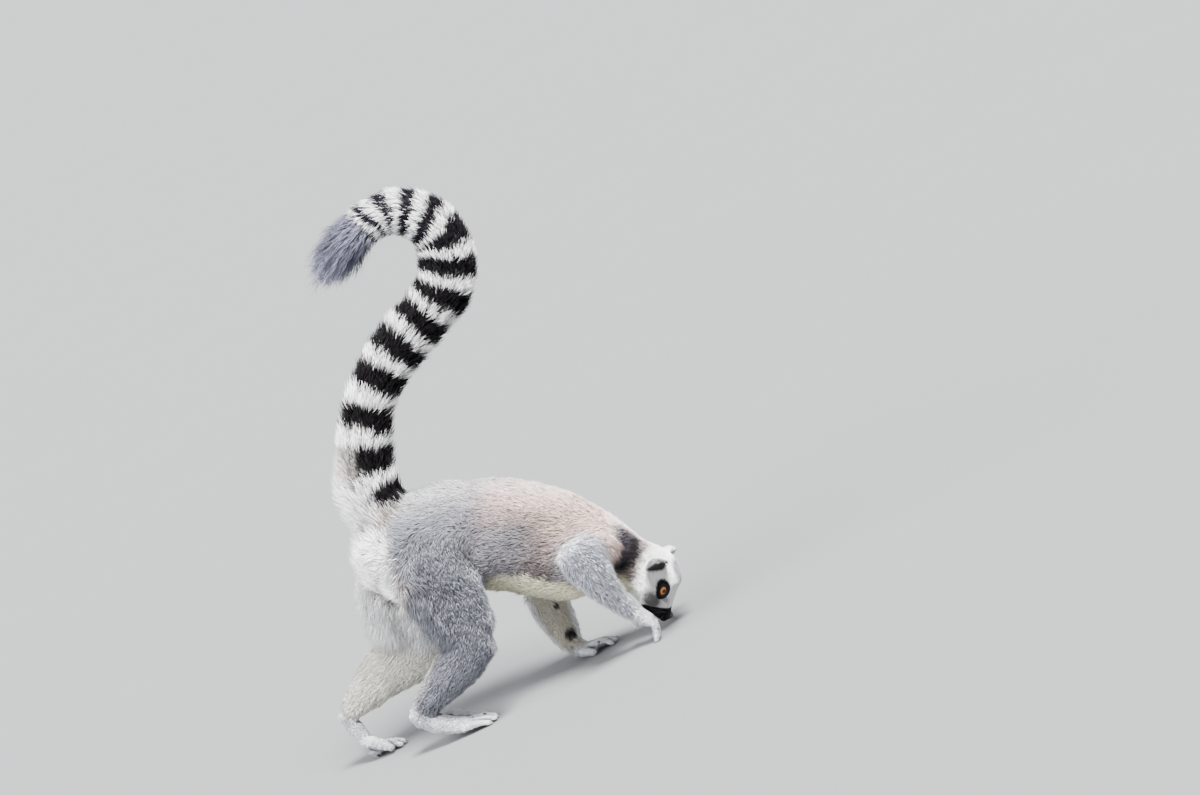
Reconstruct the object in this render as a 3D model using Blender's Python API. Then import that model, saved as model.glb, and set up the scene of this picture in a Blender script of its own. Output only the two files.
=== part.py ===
"""Ring-tailed lemur, a still life-size museum model.

The animal stands on all fours with its back sloping down to its lowered head and its ringed tail held
high in a hook. It faces +X, its right side is towards -Y, and its soles, toes and finger tips rest on
z = 0. The solids run out to the tips of the coat, and thin gaps part the body where a person would
name its parts. Sizes are in millimetres and become metres where the meshes are made.
"""

import math

import bmesh
import bpy
import numpy as np

MM = 0.001              # metres in a millimetre
GAP = 0.3               # parting gap between neighbouring solids
FLOOR_DEPTH = 30.0      # thickness of the block that trims the soles flat
ACROSS = (0.0, 1.0, 0.0)

# Neck, trunk and head are drawn in profile. A row holds the x and z of the upper line, the x and z of
# the lower line, the half width between them, and how much the section narrows towards its upper side.
TRUNK = [
    (-48, 266, -66, 226, 24, 0.0),
    (-36, 279, -72, 203, 41, 0.0),
    (-12, 288, -62, 178, 51, 0.05),
    (18, 293, -34, 158, 57, 0.08),
    (55, 289, 0, 149, 58, 0.10),
    (90, 276, 32, 146, 57, 0.12),
    (125, 260, 62, 130, 56, 0.14),
    (160, 238, 92, 107, 53, 0.16),
    (190, 211, 122, 87, 49, 0.18),
    (214, 182, 156, 76, 44, 0.18),
    (231, 153, 184, 79, 38, 0.15),
]
NECK = [
    (231, 153, 184, 79, 38, 0.15),
    (243, 130, 196, 70, 34, 0.12),
    (253, 110, 204, 56, 32, 0.10),
    (258, 98, 210, 50, 29, 0.08),
]
HEAD = [
    (250, 104, 226, 102, 17, 0.0),
    (262, 95, 217, 92, 28, 0.05),
    (271, 82, 210, 77, 35, 0.10),
    (275.5, 66, 207, 60, 38, 0.18),
    (274, 50, 207, 44, 35, 0.30),
    (267, 39, 209, 33, 27, 0.34),
    (255, 31, 212, 25, 19, 0.20),
    (247, 23, 215, 19, 13.5, 0.10),
    (241.5, 15.5, 219, 13, 10.5, 0.0),
    (237, 9, 224, 8, 8, 0.0),
]
HEAD_TURN = math.radians(10)        # the face turns a little to the animal's right
HEAD_PIVOT = (243.0, 0.0)           # x and y of the upright line that the head turns about

# Limbs and tail are oval tubes along a path. A row holds x, y, z, half width and half depth.
TAIL = [
    (-20, 0, 262, 33, 33),
    (-23, 0, 295, 36, 37),
    (-20, 0, 332, 36, 36),
    (-9, 0, 363, 35, 35),
    (12, 0, 402, 34, 34),
    (46, 0, 436, 35, 35),
    (76, 0, 455, 36, 36),
    (108, 0, 471, 37, 37),
    (138, 0, 483, 38, 38),
    (163, 0, 497, 39, 39),
    (182, 0, 521, 40, 40),
    (191, 0, 553, 39, 38),
    (185, 0, 583, 36, 36),
    (165, 0, 606, 34, 34),
    (137, 0, 616, 32, 32),
    (110, 0, 613, 30, 30),
    (86, 0, 603, 28, 27),
    (65, 0, 592, 24, 23),
    (50, 0, 584, 17, 17),
    (40, 0, 578, 9, 9),
]
TAIL_LENGTHS = 7
TAIL_TIP = 8.0

# The right hind foot is planted under the body, the left one pushes off behind.
THIGH_R = [
    (-2, -26, 236, 26, 40),
    (4, -40, 206, 31, 44),
    (8, -52, 172, 33, 45),
    (10, -60, 140, 31, 42),
    (14, -65, 112, 26, 34),
]
SHANK_R = [
    (20, -66, 102, 23, 26),
    (-6, -65, 92, 25, 32),
    (-34, -61, 78, 22, 29),
    (-60, -56, 65, 18, 23),
    (-84, -52, 55, 14, 16),
]
SOLE_R = [
    (-92, -51, 52, 12, 13),
    (-87, -51, 40, 13, 14),
    (-72, -52, 25, 14, 12),
    (-56, -53, 15, 16, 10.5),
    (-42, -54, 10.5, 15, 8.5),
]
THIGH_L = [
    (-12, 26, 232, 26, 44),
    (-30, 40, 202, 31, 52),
    (-44, 50, 168, 33, 55),
    (-50, 56, 132, 31, 48),
    (-50, 60, 104, 27, 38),
]
SHANK_L = [
    (-42, 60, 92, 24, 30),
    (-74, 60, 94, 26, 37),
    (-106, 58, 92, 24, 36),
    (-136, 55, 83, 20, 29),
    (-160, 53, 74, 15, 21),
    (-174, 52, 68, 12, 14),
]
SOLE_L = [
    (-180, 52, 66, 10, 9),
    (-176, 52, 44, 10.5, 10),
    (-173, 52, 24, 12.5, 10.5),
    (-166, 52, 11, 14, 10),
    (-160, 52, 8.5, 13, 8),
]
TOE_REACH_R = (-12, -7, -9, -17)            # x of the tips, second to fifth toe
TOE_REACH_L = (-133, -128, -130, -138)
TOE_SPACING = 7.0
KNUCKLE_RISE = 2.0                           # how much higher each knuckle is than its outer neighbour's
TOE_FAN = 1.35                              # spacing of the tips over spacing of the roots
HALLUX_R = [(-66, -45, 24, 8, 8), (-54, -34, 24, 7.5, 8), (-43, -27, 15, 6.5, 6.5), (-36, -24, 9, 5, 5)]
HALLUX_L = [(-172, 44, 26, 7, 7), (-163, 36, 22, 7, 7.5), (-151, 31, 13, 6, 6), (-145, 29, 7, 4.8, 4.8)]

# The right elbow is lifted outwards and its finger tips hook down; the left hand lies flat.
UPPER_ARM_R = [
    (196, -26, 118, 24, 30),
    (188, -46, 130, 22, 27),
    (178, -64, 143, 19, 24),
    (169, -77, 151, 16, 20),
]
FOREARM_R = [
    (163, -80, 154, 17, 20),
    (170, -76, 132, 20, 26),
    (177, -68, 104, 18.5, 23),
    (183, -59, 80, 15, 17),
    (190, -52, 60, 12, 12.5),
    (195, -48, 48, 10.5, 11),
]
PALM_R = [
    (199, -47, 42, 10, 9.5),
    (206, -46, 34, 12, 9.5),
    (212, -46, 26, 12.5, 8.5),
]
THUMB_R = [(203, -39, 38, 5, 5), (198, -32, 33, 4.6, 4.6), (195, -28, 27, 4.2, 4.2), (194, -27, 22, 3.4, 3.4)]
UPPER_ARM_L = [
    (194, 26, 118, 24, 30),
    (168, 38, 112, 23, 28),
    (140, 48, 106, 22, 28),
    (118, 52, 101, 20, 27),
]
FOREARM_L = [
    (108, 52, 98, 18, 27),
    (107, 51, 76, 19, 26),
    (109, 49, 52, 17, 22.5),
    (111, 46, 32, 13.5, 17),
    (112, 45, 20, 11, 12.5),
]
PALM_L = [
    (112, 45, 15, 11, 10.5),
    (121, 45, 10, 12.5, 9),
    (131, 46, 8, 13.5, 7.5),
    (138, 46, 7, 13, 6.5),
]
THUMB_L = [(118, 36, 9, 5.5, 5.5), (125, 29, 7, 5, 5), (133, 24, 4.4, 4.4, 4.4)]
FINGER_SPACING = 6.6
FINGER_REACH_L = (158, 163, 164, 157)       # x of the tips, index to little finger

# The head's small parts, in the head's own place before it turns.
EYE = (246.5, 24.0, 49.0)                   # centre of the right eye, its y turned positive
EYE_RADIUS = 9.5
NOSE = (237.5, 0.0, 9.5)
NOSE_SIZE = (5.0, 6.0, 4.0)
EAR_R = [(256, -24, 78, 9, 7), (256, -36, 81, 13.5, 5.5), (256, -46, 86, 12.5, 4.5), (257, -55, 90, 6, 3)]
EAR_L = [(254, 24, 78, 9, 7), (260, 35, 76, 13.5, 5.5), (265, 43, 74, 12.5, 4.5), (270, 49, 73, 6, 3)]

BODY_SIDES = 20
LIMB_SIDES = 12
TAIL_SIDES = 14
PALM_SIDES = 10
DIGIT_SIDES = 6
EAR_SIDES = 10

COAT_GREY = ("coat_grey", (0.36, 0.34, 0.33), 0.9)
COAT_WHITE = ("coat_white", (0.78, 0.77, 0.74), 0.9)
COAT_RINGED = ("coat_ringed", (0.30, 0.29, 0.28), 0.9)
BARE_SKIN = ("bare_skin", (0.03, 0.03, 0.035), 0.5)
EYE_GLASS = ("eye_glass", (0.55, 0.20, 0.04), 0.1)


def clear_scene():
    """Start from an empty scene."""
    for item in list(bpy.data.objects):
        bpy.data.objects.remove(item, do_unlink=True)


def material(name, colour, roughness):
    """A plain shader of the part's own colour, shared by every object that names it."""
    shader = bpy.data.materials.get(name) or bpy.data.materials.new(name)
    shader.use_nodes = True
    surface = shader.node_tree.nodes["Principled BSDF"]
    surface.inputs["Base Color"].default_value = (*colour, 1.0)
    surface.inputs["Roughness"].default_value = roughness
    surface.inputs["Metallic"].default_value = 0.0
    return shader


def unit(vectors):
    """Vectors scaled to length one."""
    vectors = np.asarray(vectors, float)
    return vectors / np.linalg.norm(vectors, axis=-1, keepdims=True)


def curve(rows, at):
    """Smooth curve through the rows, read at values from 0, the first row, to 1, the last one."""
    rows = np.asarray(rows, float)
    padded = np.vstack([2 * rows[0] - rows[1], rows, 2 * rows[-1] - rows[-2]])
    place = np.clip(np.asarray(at, float), 0, 1) * (len(rows) - 1)
    step = np.minimum(place.astype(int), len(rows) - 2)
    u = (place - step)[:, None]
    before, start, end, after = (padded[step + k] for k in range(4))
    return 0.5 * (2 * start + (end - before) * u
                  + (2 * before - 5 * start + 4 * end - after) * u ** 2
                  + (3 * start - before - 3 * end + after) * u ** 3)


def profile_rings(rows, at, sides):
    """Oval rings between an upper and a lower profile line, and the direction that they follow."""
    found = curve(rows, at)
    upper = np.stack([found[:, 0], np.zeros(len(found)), found[:, 1]], axis=1)
    lower = np.stack([found[:, 2], np.zeros(len(found)), found[:, 3]], axis=1)
    centre, half = (upper + lower) / 2, (upper - lower) / 2
    angle = np.linspace(0, 2 * math.pi, sides, endpoint=False)
    lean = 1 - found[:, 5, None] * np.cos(angle)
    sideways = (found[:, 4, None] * np.sin(angle) * lean)[..., None] * np.array(ACROSS)
    rings = centre[:, None] + half[:, None] * np.cos(angle)[None, :, None] + sideways
    along = unit(np.cross(np.array(ACROSS), half))
    return rings, along * np.sign((along * np.gradient(centre, axis=0)).sum(axis=1))[:, None]


def tube_rings(rows, at, sides, across=ACROSS):
    """Oval rings square to a path in space, and the direction of the path at each ring."""
    found = curve(rows, at)
    small = 1e-3
    ahead, behind = curve(rows, np.minimum(at + small, 1)), curve(rows, np.maximum(at - small, 0))
    along = unit(ahead[:, :3] - behind[:, :3])
    depth = unit(np.cross(along, np.array(across)))
    width = np.cross(depth, along)
    angle = np.linspace(0, 2 * math.pi, sides, endpoint=False)
    outward = (depth[:, None] * (found[:, 4, None] * np.cos(angle))[..., None]
               + width[:, None] * (found[:, 3, None] * np.sin(angle))[..., None])
    return found[:, None, :3] + outward, along


def domed(rings, along, first=None, last=None, steps=2):
    """Close a tube with rings that shrink over the stated heights; None leaves that end flat."""
    angles = np.linspace(0, math.pi / 2, steps + 2)[1:-1]
    stack, poles = list(rings), [rings[0].mean(axis=0), rings[-1].mean(axis=0)]
    for height, end, direction in ((first, 0, -along[0]), (last, -1, along[-1])):
        if height is None:
            continue
        ring, centre = rings[end], poles[end]
        cap = [centre + (ring - centre) * math.cos(a) + direction * height * math.sin(a) for a in angles]
        stack = cap[::-1] + stack if end == 0 else stack + cap
        poles[end] = centre + direction * height
    return np.array(stack), poles


def shell(rings, poles):
    """Points and triangles of a closed tube: strips between rings, and fans to the two poles."""
    count, sides = rings.shape[:2]
    points = np.vstack([rings.reshape(-1, 3), poles])
    faces = []
    for j in range(sides):
        k = (j + 1) % sides
        for i in range(count - 1):
            here, above = i * sides, (i + 1) * sides
            faces += [(here + j, here + k, above + k), (here + j, above + k, above + j)]
        faces.append((k, j, count * sides))
        faces.append(((count - 1) * sides + j, (count - 1) * sides + k, count * sides + 1))
    return points, faces


def join_shells(shells):
    """Several closed shells as one list of points and faces."""
    points, faces, start = [], [], 0
    for shell_points, shell_faces in shells:
        faces += [tuple(start + corner for corner in face) for face in shell_faces]
        points.append(shell_points)
        start += len(shell_points)
    return np.vstack(points), faces


def solid(name, form, look=None, grow=0.0):
    """Mesh object in metres with its faces pointing out, grown outwards by grow millimetres."""
    points, faces = form
    mesh = bpy.data.meshes.new(name)
    mesh.from_pydata((points * MM).tolist(), [], faces)
    work = bmesh.new()
    work.from_mesh(mesh)
    bmesh.ops.recalc_face_normals(work, faces=work.faces)
    work.normal_update()
    for vertex in work.verts:
        vertex.co += vertex.normal * grow * MM
    work.to_mesh(mesh)
    work.free()
    mesh.shade_smooth()
    made = bpy.data.objects.new(name, mesh)
    bpy.context.collection.objects.link(made)
    if look:
        made.data.materials.append(material(*look))
    return made


def guide(name, form, grow=0.0):
    """Helper solid for a Boolean, left out of the model."""
    made = solid(name, form, grow=grow)
    made.hide_render = True
    made.display_type = "WIRE"
    return made


def boolean(target, helper, operation):
    """Add a Boolean with the exact solver."""
    step = target.modifiers.new(helper.name, "BOOLEAN")
    step.operation = operation
    step.object = helper
    step.solver = "EXACT"
    step.use_self = operation == "UNION"


def tube(rows, count, sides, first=None, last=None, across=ACROSS, span=(0.0, 1.0), start_gap=0.0, steps=2):
    """Closed tube along the path, or along the part of it in span, with an optional gap at its start."""
    rings, along = tube_rings(rows, np.linspace(*span, count), sides, across)
    rings[0] += along[0] * start_gap
    return shell(*domed(rings, along, first, last, steps))


def profile(rows, count, sides, first=None, last=None, start_gap=0.0):
    """Closed body between the two profile lines, with an optional gap at its start."""
    rings, along = profile_rings(rows, np.linspace(0, 1, count), sides)
    rings[0] += along[0] * start_gap
    return shell(*domed(rings, along, first, last))


def turn_head(form):
    """Turn a shape of the head about the head's upright line."""
    points, faces = form
    centre = np.array((*HEAD_PIVOT, 0.0))
    sine, cosine = math.sin(-HEAD_TURN), math.cos(HEAD_TURN)
    turn = np.array(((cosine, -sine, 0), (sine, cosine, 0), (0, 0, 1)))
    return (points - centre) @ turn.T + centre, faces


def ball(centre, size, sides=11, rows=5):
    """Closed ellipsoid of the given half sizes."""
    angles = np.linspace(-math.pi / 2, math.pi / 2, rows + 2)[1:-1]
    turn = np.linspace(0, 2 * math.pi, sides, endpoint=False)
    ring = np.stack([np.cos(turn), np.sin(turn), np.zeros(sides)], axis=1)
    rings = np.array([ring * math.cos(a) + (0, 0, math.sin(a)) for a in angles]) * size + centre
    poles = [np.array(centre) - (0, 0, size[2]), np.array(centre) + (0, 0, size[2])]
    return shell(rings, poles)


def digits(root_x, root_y, root_z, tips, spacing, radius, knuckle_lift, outer_side):
    """Four curled digits side by side: roots in a row, tips fanned out and resting on the floor."""
    shells = []
    for index, tip_x in enumerate(tips):
        aside = (index - 1.5) * spacing * outer_side
        middle_x = (root_x + tip_x) / 2
        inner_lift = KNUCKLE_RISE * (len(tips) - 1 - index)
        path = [
            (root_x - radius, root_y + aside, root_z + inner_lift / 2, radius * 1.15, radius * 1.1),
            (middle_x, root_y + aside * (1 + TOE_FAN) / 2, root_z * 0.6 + knuckle_lift + inner_lift,
             radius, radius),
            (tip_x, root_y + aside * TOE_FAN, radius * 0.8, radius * 0.85, radius * 0.85),
        ]
        shells.append(tube(path, 4, DIGIT_SIDES, radius * 0.6, radius * 0.7, steps=1))
    return shells


def hooked_fingers(spacing, radius):
    """Four fingers of the right hand, bent down from the knuckles onto their tips."""
    shells = []
    for index in range(4):
        aside = (1.5 - index) * spacing
        y = PALM_R[-1][1] + aside
        reach = 2.5 * math.cos(aside / spacing)
        path = [
            (209, y, 29, radius * 1.15, radius * 1.15),
            (215 + reach, y + aside * 0.1, 21, radius * 1.05, radius * 1.05),
            (214 + reach, y + aside * 0.15, 11, radius, radius),
            (209 + reach, y + aside * 0.2, 2.6, radius * 0.85, radius * 0.85),
        ]
        shells.append(tube(path, 4, DIGIT_SIDES, radius * 0.6, radius * 0.6, steps=1))
    return shells


def extremity(name, base, extra, floor):
    """A hand or foot: the palm or sole joined with its digits, trimmed flat where it stands."""
    made = solid(name, base, COAT_WHITE)
    boolean(made, guide("digits_" + name, join_shells(extra)), "UNION")
    boolean(made, floor, "DIFFERENCE")
    return made


def floor_block():
    """Block below the floor that trims everything at z = 0."""
    reach = 400.0
    corners = [(x, y, z) for x in (-reach, reach) for y in (-reach, reach) for z in (-FLOOR_DEPTH, 0.0)]
    faces = [(0, 1, 3, 2), (4, 6, 7, 5), (0, 4, 5, 1), (2, 3, 7, 6), (0, 2, 6, 4), (1, 5, 7, 3)]
    return guide("floor_block", (np.array(corners), faces))


def make_trunk_and_tail():
    """Neck and trunk share one outline; the tail is one tube in seven lengths."""
    trunk_form = profile(TRUNK, 15, BODY_SIDES, first=6)
    parts = {"trunk": solid("trunk", trunk_form, COAT_GREY)}
    parts["neck"] = solid("neck", profile(NECK, 4, BODY_SIDES, start_gap=GAP), COAT_GREY)
    trunk_guide = guide("trunk_guide", trunk_form, GAP)
    for index in range(TAIL_LENGTHS):
        span = (index / TAIL_LENGTHS, (index + 1) / TAIL_LENGTHS)
        last = TAIL_TIP if index == TAIL_LENGTHS - 1 else None
        form = tube(TAIL, 5, TAIL_SIDES, last=last, span=span, start_gap=GAP if index else 0.0)
        name = f"tail_{index + 1}"
        parts[name] = solid(name, form, COAT_RINGED)
        if index == 0:
            boolean(parts[name], trunk_guide, "DIFFERENCE")
            parts["tail_guide"] = guide("tail_guide", form, GAP)
    parts["trunk_guide"] = trunk_guide
    return parts


def make_head(parts):
    """Head with its eye sockets, eyes, nose leather and ears."""
    head_form = turn_head(profile(HEAD, 14, BODY_SIDES, first=5, last=3))
    head = solid("head", head_form, COAT_WHITE)
    head_guide = guide("head_guide", head_form, GAP)
    boolean(parts["neck"], head_guide, "DIFFERENCE")
    boolean(parts["trunk"], head_guide, "DIFFERENCE")
    for side, sign in (("r", -1), ("l", 1)):
        centre = np.array(EYE) * (1, sign, 1)
        size = np.full(3, EYE_RADIUS)
        solid("eye_" + side, turn_head(ball(centre, size)), EYE_GLASS)
        boolean(head, guide("socket_" + side, turn_head(ball(centre, size)), GAP), "DIFFERENCE")
    nose_form = turn_head(ball(NOSE, NOSE_SIZE, 10, 4))
    solid("nose", nose_form, BARE_SKIN)
    boolean(head, guide("nose_guide", nose_form, GAP), "DIFFERENCE")
    for side, rows in (("r", EAR_R), ("l", EAR_L)):
        form = turn_head(tube(rows, 5, EAR_SIDES, 2, 2, across=(1.0, 0.0, 0.0)))
        boolean(solid("ear_" + side, form, COAT_WHITE), head_guide, "DIFFERENCE")
    return head_guide


def make_leg(side, thigh, shank, sole, toes, hallux, parts, floor):
    """Hind leg: the thigh gives way to the trunk and tail, the shank to the thigh, the foot to the shank."""
    thigh_form = tube(thigh, 7, LIMB_SIDES, 14, 12)
    shank_form = tube(shank, 8, LIMB_SIDES, 12, 6)
    made = solid("thigh_" + side, thigh_form, COAT_GREY)
    boolean(made, parts["trunk_guide"], "DIFFERENCE")
    boolean(made, parts["tail_guide"], "DIFFERENCE")
    calf = solid("shank_" + side, shank_form, COAT_GREY)
    boolean(calf, guide("thigh_guide_" + side, thigh_form, GAP), "DIFFERENCE")
    outer = -1 if side == "r" else 1
    root = sole[-1]
    extra = digits(root[0] - 4, root[1], root[2], toes, TOE_SPACING, 4.6, 2.6, outer)
    extra.append(tube(hallux, 4, DIGIT_SIDES, 4, 3, steps=1))
    foot = extremity("foot_" + side, tube(sole, 6, PALM_SIDES, 7, 4, steps=1), extra, floor)
    boolean(foot, guide("shank_guide_" + side, shank_form, GAP), "DIFFERENCE")


def make_arm(side, upper, fore, palm, extra, parts, head_guide, floor):
    """Fore leg: the upper arm gives way to trunk and neck, the forearm to it, and the hand to the forearm."""
    upper_form = tube(upper, 5, LIMB_SIDES, 12, 8)
    fore_form = tube(fore, 8, LIMB_SIDES, 10, 4)
    arm = solid("upper_arm_" + side, upper_form, COAT_GREY)
    boolean(arm, parts["trunk_guide"], "DIFFERENCE")
    boolean(arm, parts["neck_guide"], "DIFFERENCE")
    boolean(arm, head_guide, "DIFFERENCE")
    forearm = solid("forearm_" + side, fore_form, COAT_GREY)
    boolean(forearm, guide("upper_guide_" + side, upper_form, GAP), "DIFFERENCE")
    boolean(forearm, parts["trunk_guide"], "DIFFERENCE")
    hand = extremity("hand_" + side, tube(palm, 4, PALM_SIDES, 4, 3, steps=1), extra, floor)
    boolean(hand, guide("fore_guide_" + side, fore_form, GAP), "DIFFERENCE")


def centre_on_floor():
    """Move the model so that its box stands centred on the origin; the soles stay on z = 0."""
    bpy.context.view_layer.update()
    graph = bpy.context.evaluated_depsgraph_get()
    corners = []
    for item in bpy.data.objects:
        if not item.hide_render:
            shape = item.evaluated_get(graph).to_mesh()
            points = np.empty(len(shape.vertices) * 3)
            shape.vertices.foreach_get("co", points)
            corners.append(points.reshape(-1, 3))
    corners = np.vstack(corners)
    middle = (corners.min(axis=0) + corners.max(axis=0)) / 2
    for item in bpy.data.objects:
        points = np.empty(len(item.data.vertices) * 3)
        item.data.vertices.foreach_get("co", points)
        points = points.reshape(-1, 3) - (middle[0], middle[1], 0)
        item.data.vertices.foreach_set("co", points.ravel())
        item.data.update()


def make_lemur():
    """Every part of the animal, from the trunk outwards."""
    clear_scene()
    floor = floor_block()
    parts = make_trunk_and_tail()
    head_guide = make_head(parts)
    parts["neck_guide"] = guide("neck_guide", profile(NECK, 4, BODY_SIDES), GAP)
    make_leg("r", THIGH_R, SHANK_R, SOLE_R, TOE_REACH_R, HALLUX_R, parts, floor)
    make_leg("l", THIGH_L, SHANK_L, SOLE_L, TOE_REACH_L, HALLUX_L, parts, floor)
    fingers = hooked_fingers(FINGER_SPACING, 4.2) + [tube(THUMB_R, 4, DIGIT_SIDES, 3, 2, steps=1)]
    make_arm("r", UPPER_ARM_R, FOREARM_R, PALM_R, fingers, parts, head_guide, floor)
    root = PALM_L[-1]
    fingers = digits(root[0] - 4, root[1], root[2], FINGER_REACH_L, FINGER_SPACING, 4.2, 2.2, 1)
    fingers.append(tube(THUMB_L, 4, DIGIT_SIDES, 3, 2, steps=1))
    make_arm("l", UPPER_ARM_L, FOREARM_L, PALM_L, fingers, parts, head_guide, floor)
    centre_on_floor()


make_lemur()
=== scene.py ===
# %% [markdown]
# # A ring-tailed lemur with a real coat
# The lemur stands on all fours with its nose to the ground and its ringed tail in a high hook. Under the
# coat lies one skin, so that no seam shows, and the coat itself is tens of thousands of small solid
# locks of hair. Everything is placed from the fixed frame that is loaded first: the solids there run
# out to the tips of the coat, so the skin is made inside them and the hair grows back out to them.

import math

import bpy
import numpy as np
from mathutils import Matrix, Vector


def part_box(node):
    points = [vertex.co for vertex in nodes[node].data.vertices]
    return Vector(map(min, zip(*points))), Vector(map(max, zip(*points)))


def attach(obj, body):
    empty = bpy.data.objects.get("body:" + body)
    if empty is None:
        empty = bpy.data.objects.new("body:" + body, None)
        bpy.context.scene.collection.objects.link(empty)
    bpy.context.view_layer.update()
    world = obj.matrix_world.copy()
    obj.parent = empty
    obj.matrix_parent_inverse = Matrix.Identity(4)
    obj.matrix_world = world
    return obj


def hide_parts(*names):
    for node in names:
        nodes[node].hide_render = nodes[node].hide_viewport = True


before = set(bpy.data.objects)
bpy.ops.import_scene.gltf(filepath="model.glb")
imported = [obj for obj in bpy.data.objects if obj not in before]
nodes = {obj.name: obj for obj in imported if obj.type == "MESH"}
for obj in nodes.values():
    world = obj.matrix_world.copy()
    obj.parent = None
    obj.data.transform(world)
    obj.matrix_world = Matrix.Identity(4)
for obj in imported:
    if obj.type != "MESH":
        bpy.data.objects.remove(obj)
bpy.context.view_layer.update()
print("nodes in the frame:", len(nodes))

# %% [markdown]
# ## Small helpers
# Three short functions are used all the way through: one makes directions of length 1, one makes soft
# edges between two values, and one turns the colours that people write into the ones that light uses.

# %% Small vector helpers
def unit(vectors):
    """Each vector divided by its own length."""
    vectors = np.asarray(vectors, float)
    return vectors / np.maximum(np.linalg.norm(vectors, axis=-1, keepdims=True), 1e-12)


def flattened(ways, normals):
    """Each direction with its share along the normal taken away, so that it lies flat in the surface."""
    return unit(ways - (ways * normals).sum(axis=1, keepdims=True) * normals)


def ease(low, high, x):
    """Smooth step: 0 below low, 1 above high, and the cubic 3t^2 - 2t^3 between them."""
    t = np.clip((x - low) / (high - low), 0, 1)
    return t * t * (3 - 2 * t)


def srgb(red, green, blue):
    """Colour from its everyday 0 to 255 values to the linear ones that light adds up in."""
    share = np.array((red, green, blue)) / 255
    return np.where(share <= 0.04045, share / 12.92, ((share + 0.055) / 1.055) ** 2.4)


print("half-way between 0 and 1 a soft edge gives", ease(0.0, 1.0, 0.5))

# %% [markdown]
# ## Camera
# The animal leans forward on a slope that is taken level here, so the camera is rolled by the slope's
# angle to keep the view. A long lens from six metres keeps the perspective flat.

# %% Camera
SLOPE = math.radians(26)            # how far the camera rolls
LOOK_DOWN = math.radians(10)        # how far it looks down
LOOK_AT = np.array((0.2307, 0.005, 0.294))
DISTANCE = 6.0
VIEW_WIDTH = 1.469                  # metres across the picture at the animal
SENSOR = 36.0

level_up = np.array((0.0, math.sin(LOOK_DOWN), math.cos(LOOK_DOWN)))
ahead = np.array((0.0, math.cos(LOOK_DOWN), -math.sin(LOOK_DOWN)))
right = math.cos(SLOPE) * np.array((1.0, 0.0, 0.0)) - math.sin(SLOPE) * level_up
picture_up = np.cross(right, ahead)


def place(item, position, toward, up):
    """Put a camera or lamp at a position, looking along toward, with up at the top of its view."""
    back = -unit(toward)
    side = unit(np.cross(up, back))
    columns = np.stack([side, np.cross(back, side), back], axis=1)
    matrix = np.eye(4)
    matrix[:3, :3] = columns
    matrix[:3, 3] = position
    item.matrix_world = Matrix(matrix.tolist())
    bpy.context.scene.collection.objects.link(item)


camera_data = bpy.data.cameras.new("camera")
camera_data.sensor_width = SENSOR
camera_data.lens = SENSOR * DISTANCE / VIEW_WIDTH
camera_data.clip_end = 200.0
camera = bpy.data.objects.new("camera", camera_data)
place(camera, LOOK_AT - ahead * DISTANCE, ahead, picture_up)
bpy.context.scene.camera = camera
print("lens:", round(camera_data.lens, 1), "mm")


# %% [markdown]
# ## Light
# Soft light comes from wide lamps. Area lamps near the animal would light the floor unevenly, so two far
# lamps with a wide angle are used: a strong one from above and a weak one from the side of the tail,
# which brings out the white fur of the rear. A pale sky fills the shadows.

# %% Lamps
SKY_COLOUR, SKY_STRENGTH = (0.87, 0.89, 0.92, 1), 1.05


def sun(name, direction, power, spread, colour):
    """Far lamp seen from a direction, with an angular width that makes its shadows soft."""
    data = bpy.data.lights.new(name, "SUN")
    data.angle = math.radians(spread)
    data.energy = power
    data.color = colour
    direction = unit(direction)
    place(bpy.data.objects.new(name, data), direction * 3.0, -direction, (0.1, 0.3, 1.0))


sun("key_lamp", picture_up - ahead * 0.56 - right * 0.12, 18.0, 24, (1.0, 0.985, 0.96))
sun("side_lamp", picture_up * 0.15 - ahead * 0.55 - right, 7.5, 50, (0.98, 0.985, 1.0))

sky = bpy.data.worlds.new("sky")
sky.use_nodes = True
sky.node_tree.nodes["Background"].inputs["Color"].default_value = SKY_COLOUR
sky.node_tree.nodes["Background"].inputs["Strength"].default_value = SKY_STRENGTH
bpy.context.scene.world = sky
print("lamps:", len(bpy.data.lights))


# %% [markdown]
# ## Shader maths as plain expressions
# A node graph is easier to read as a formula. The class below wraps one socket, and every operator on
# it adds the Math node that does the sum. Colours are mixed and scaled through Mix and Vector Math.

# %% The shader language
class Value:
    """A socket of a material's node tree that can be used in Python sums."""

    def __init__(self, tree, socket):
        self.tree, self.socket = tree, socket

    def _math(self, operation, first, second=0.0):
        made = self.tree.node("ShaderNodeMath", {"operation": operation}, {0: first, 1: second})
        return made.out(0)

    def __add__(self, other):
        return self._math("ADD", self, other)

    def __sub__(self, other):
        return self._math("SUBTRACT", self, other)

    def __rsub__(self, other):
        return self._math("SUBTRACT", other, self)

    def __mul__(self, other):
        return self._math("MULTIPLY", self, other)

    __radd__, __rmul__ = __add__, __mul__


class Made:
    """A node that was just made, whose outputs are read by number or name."""

    def __init__(self, tree, node):
        self.tree, self.node = tree, node

    def out(self, key):
        return Value(self.tree, self.node.outputs[key])


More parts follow.
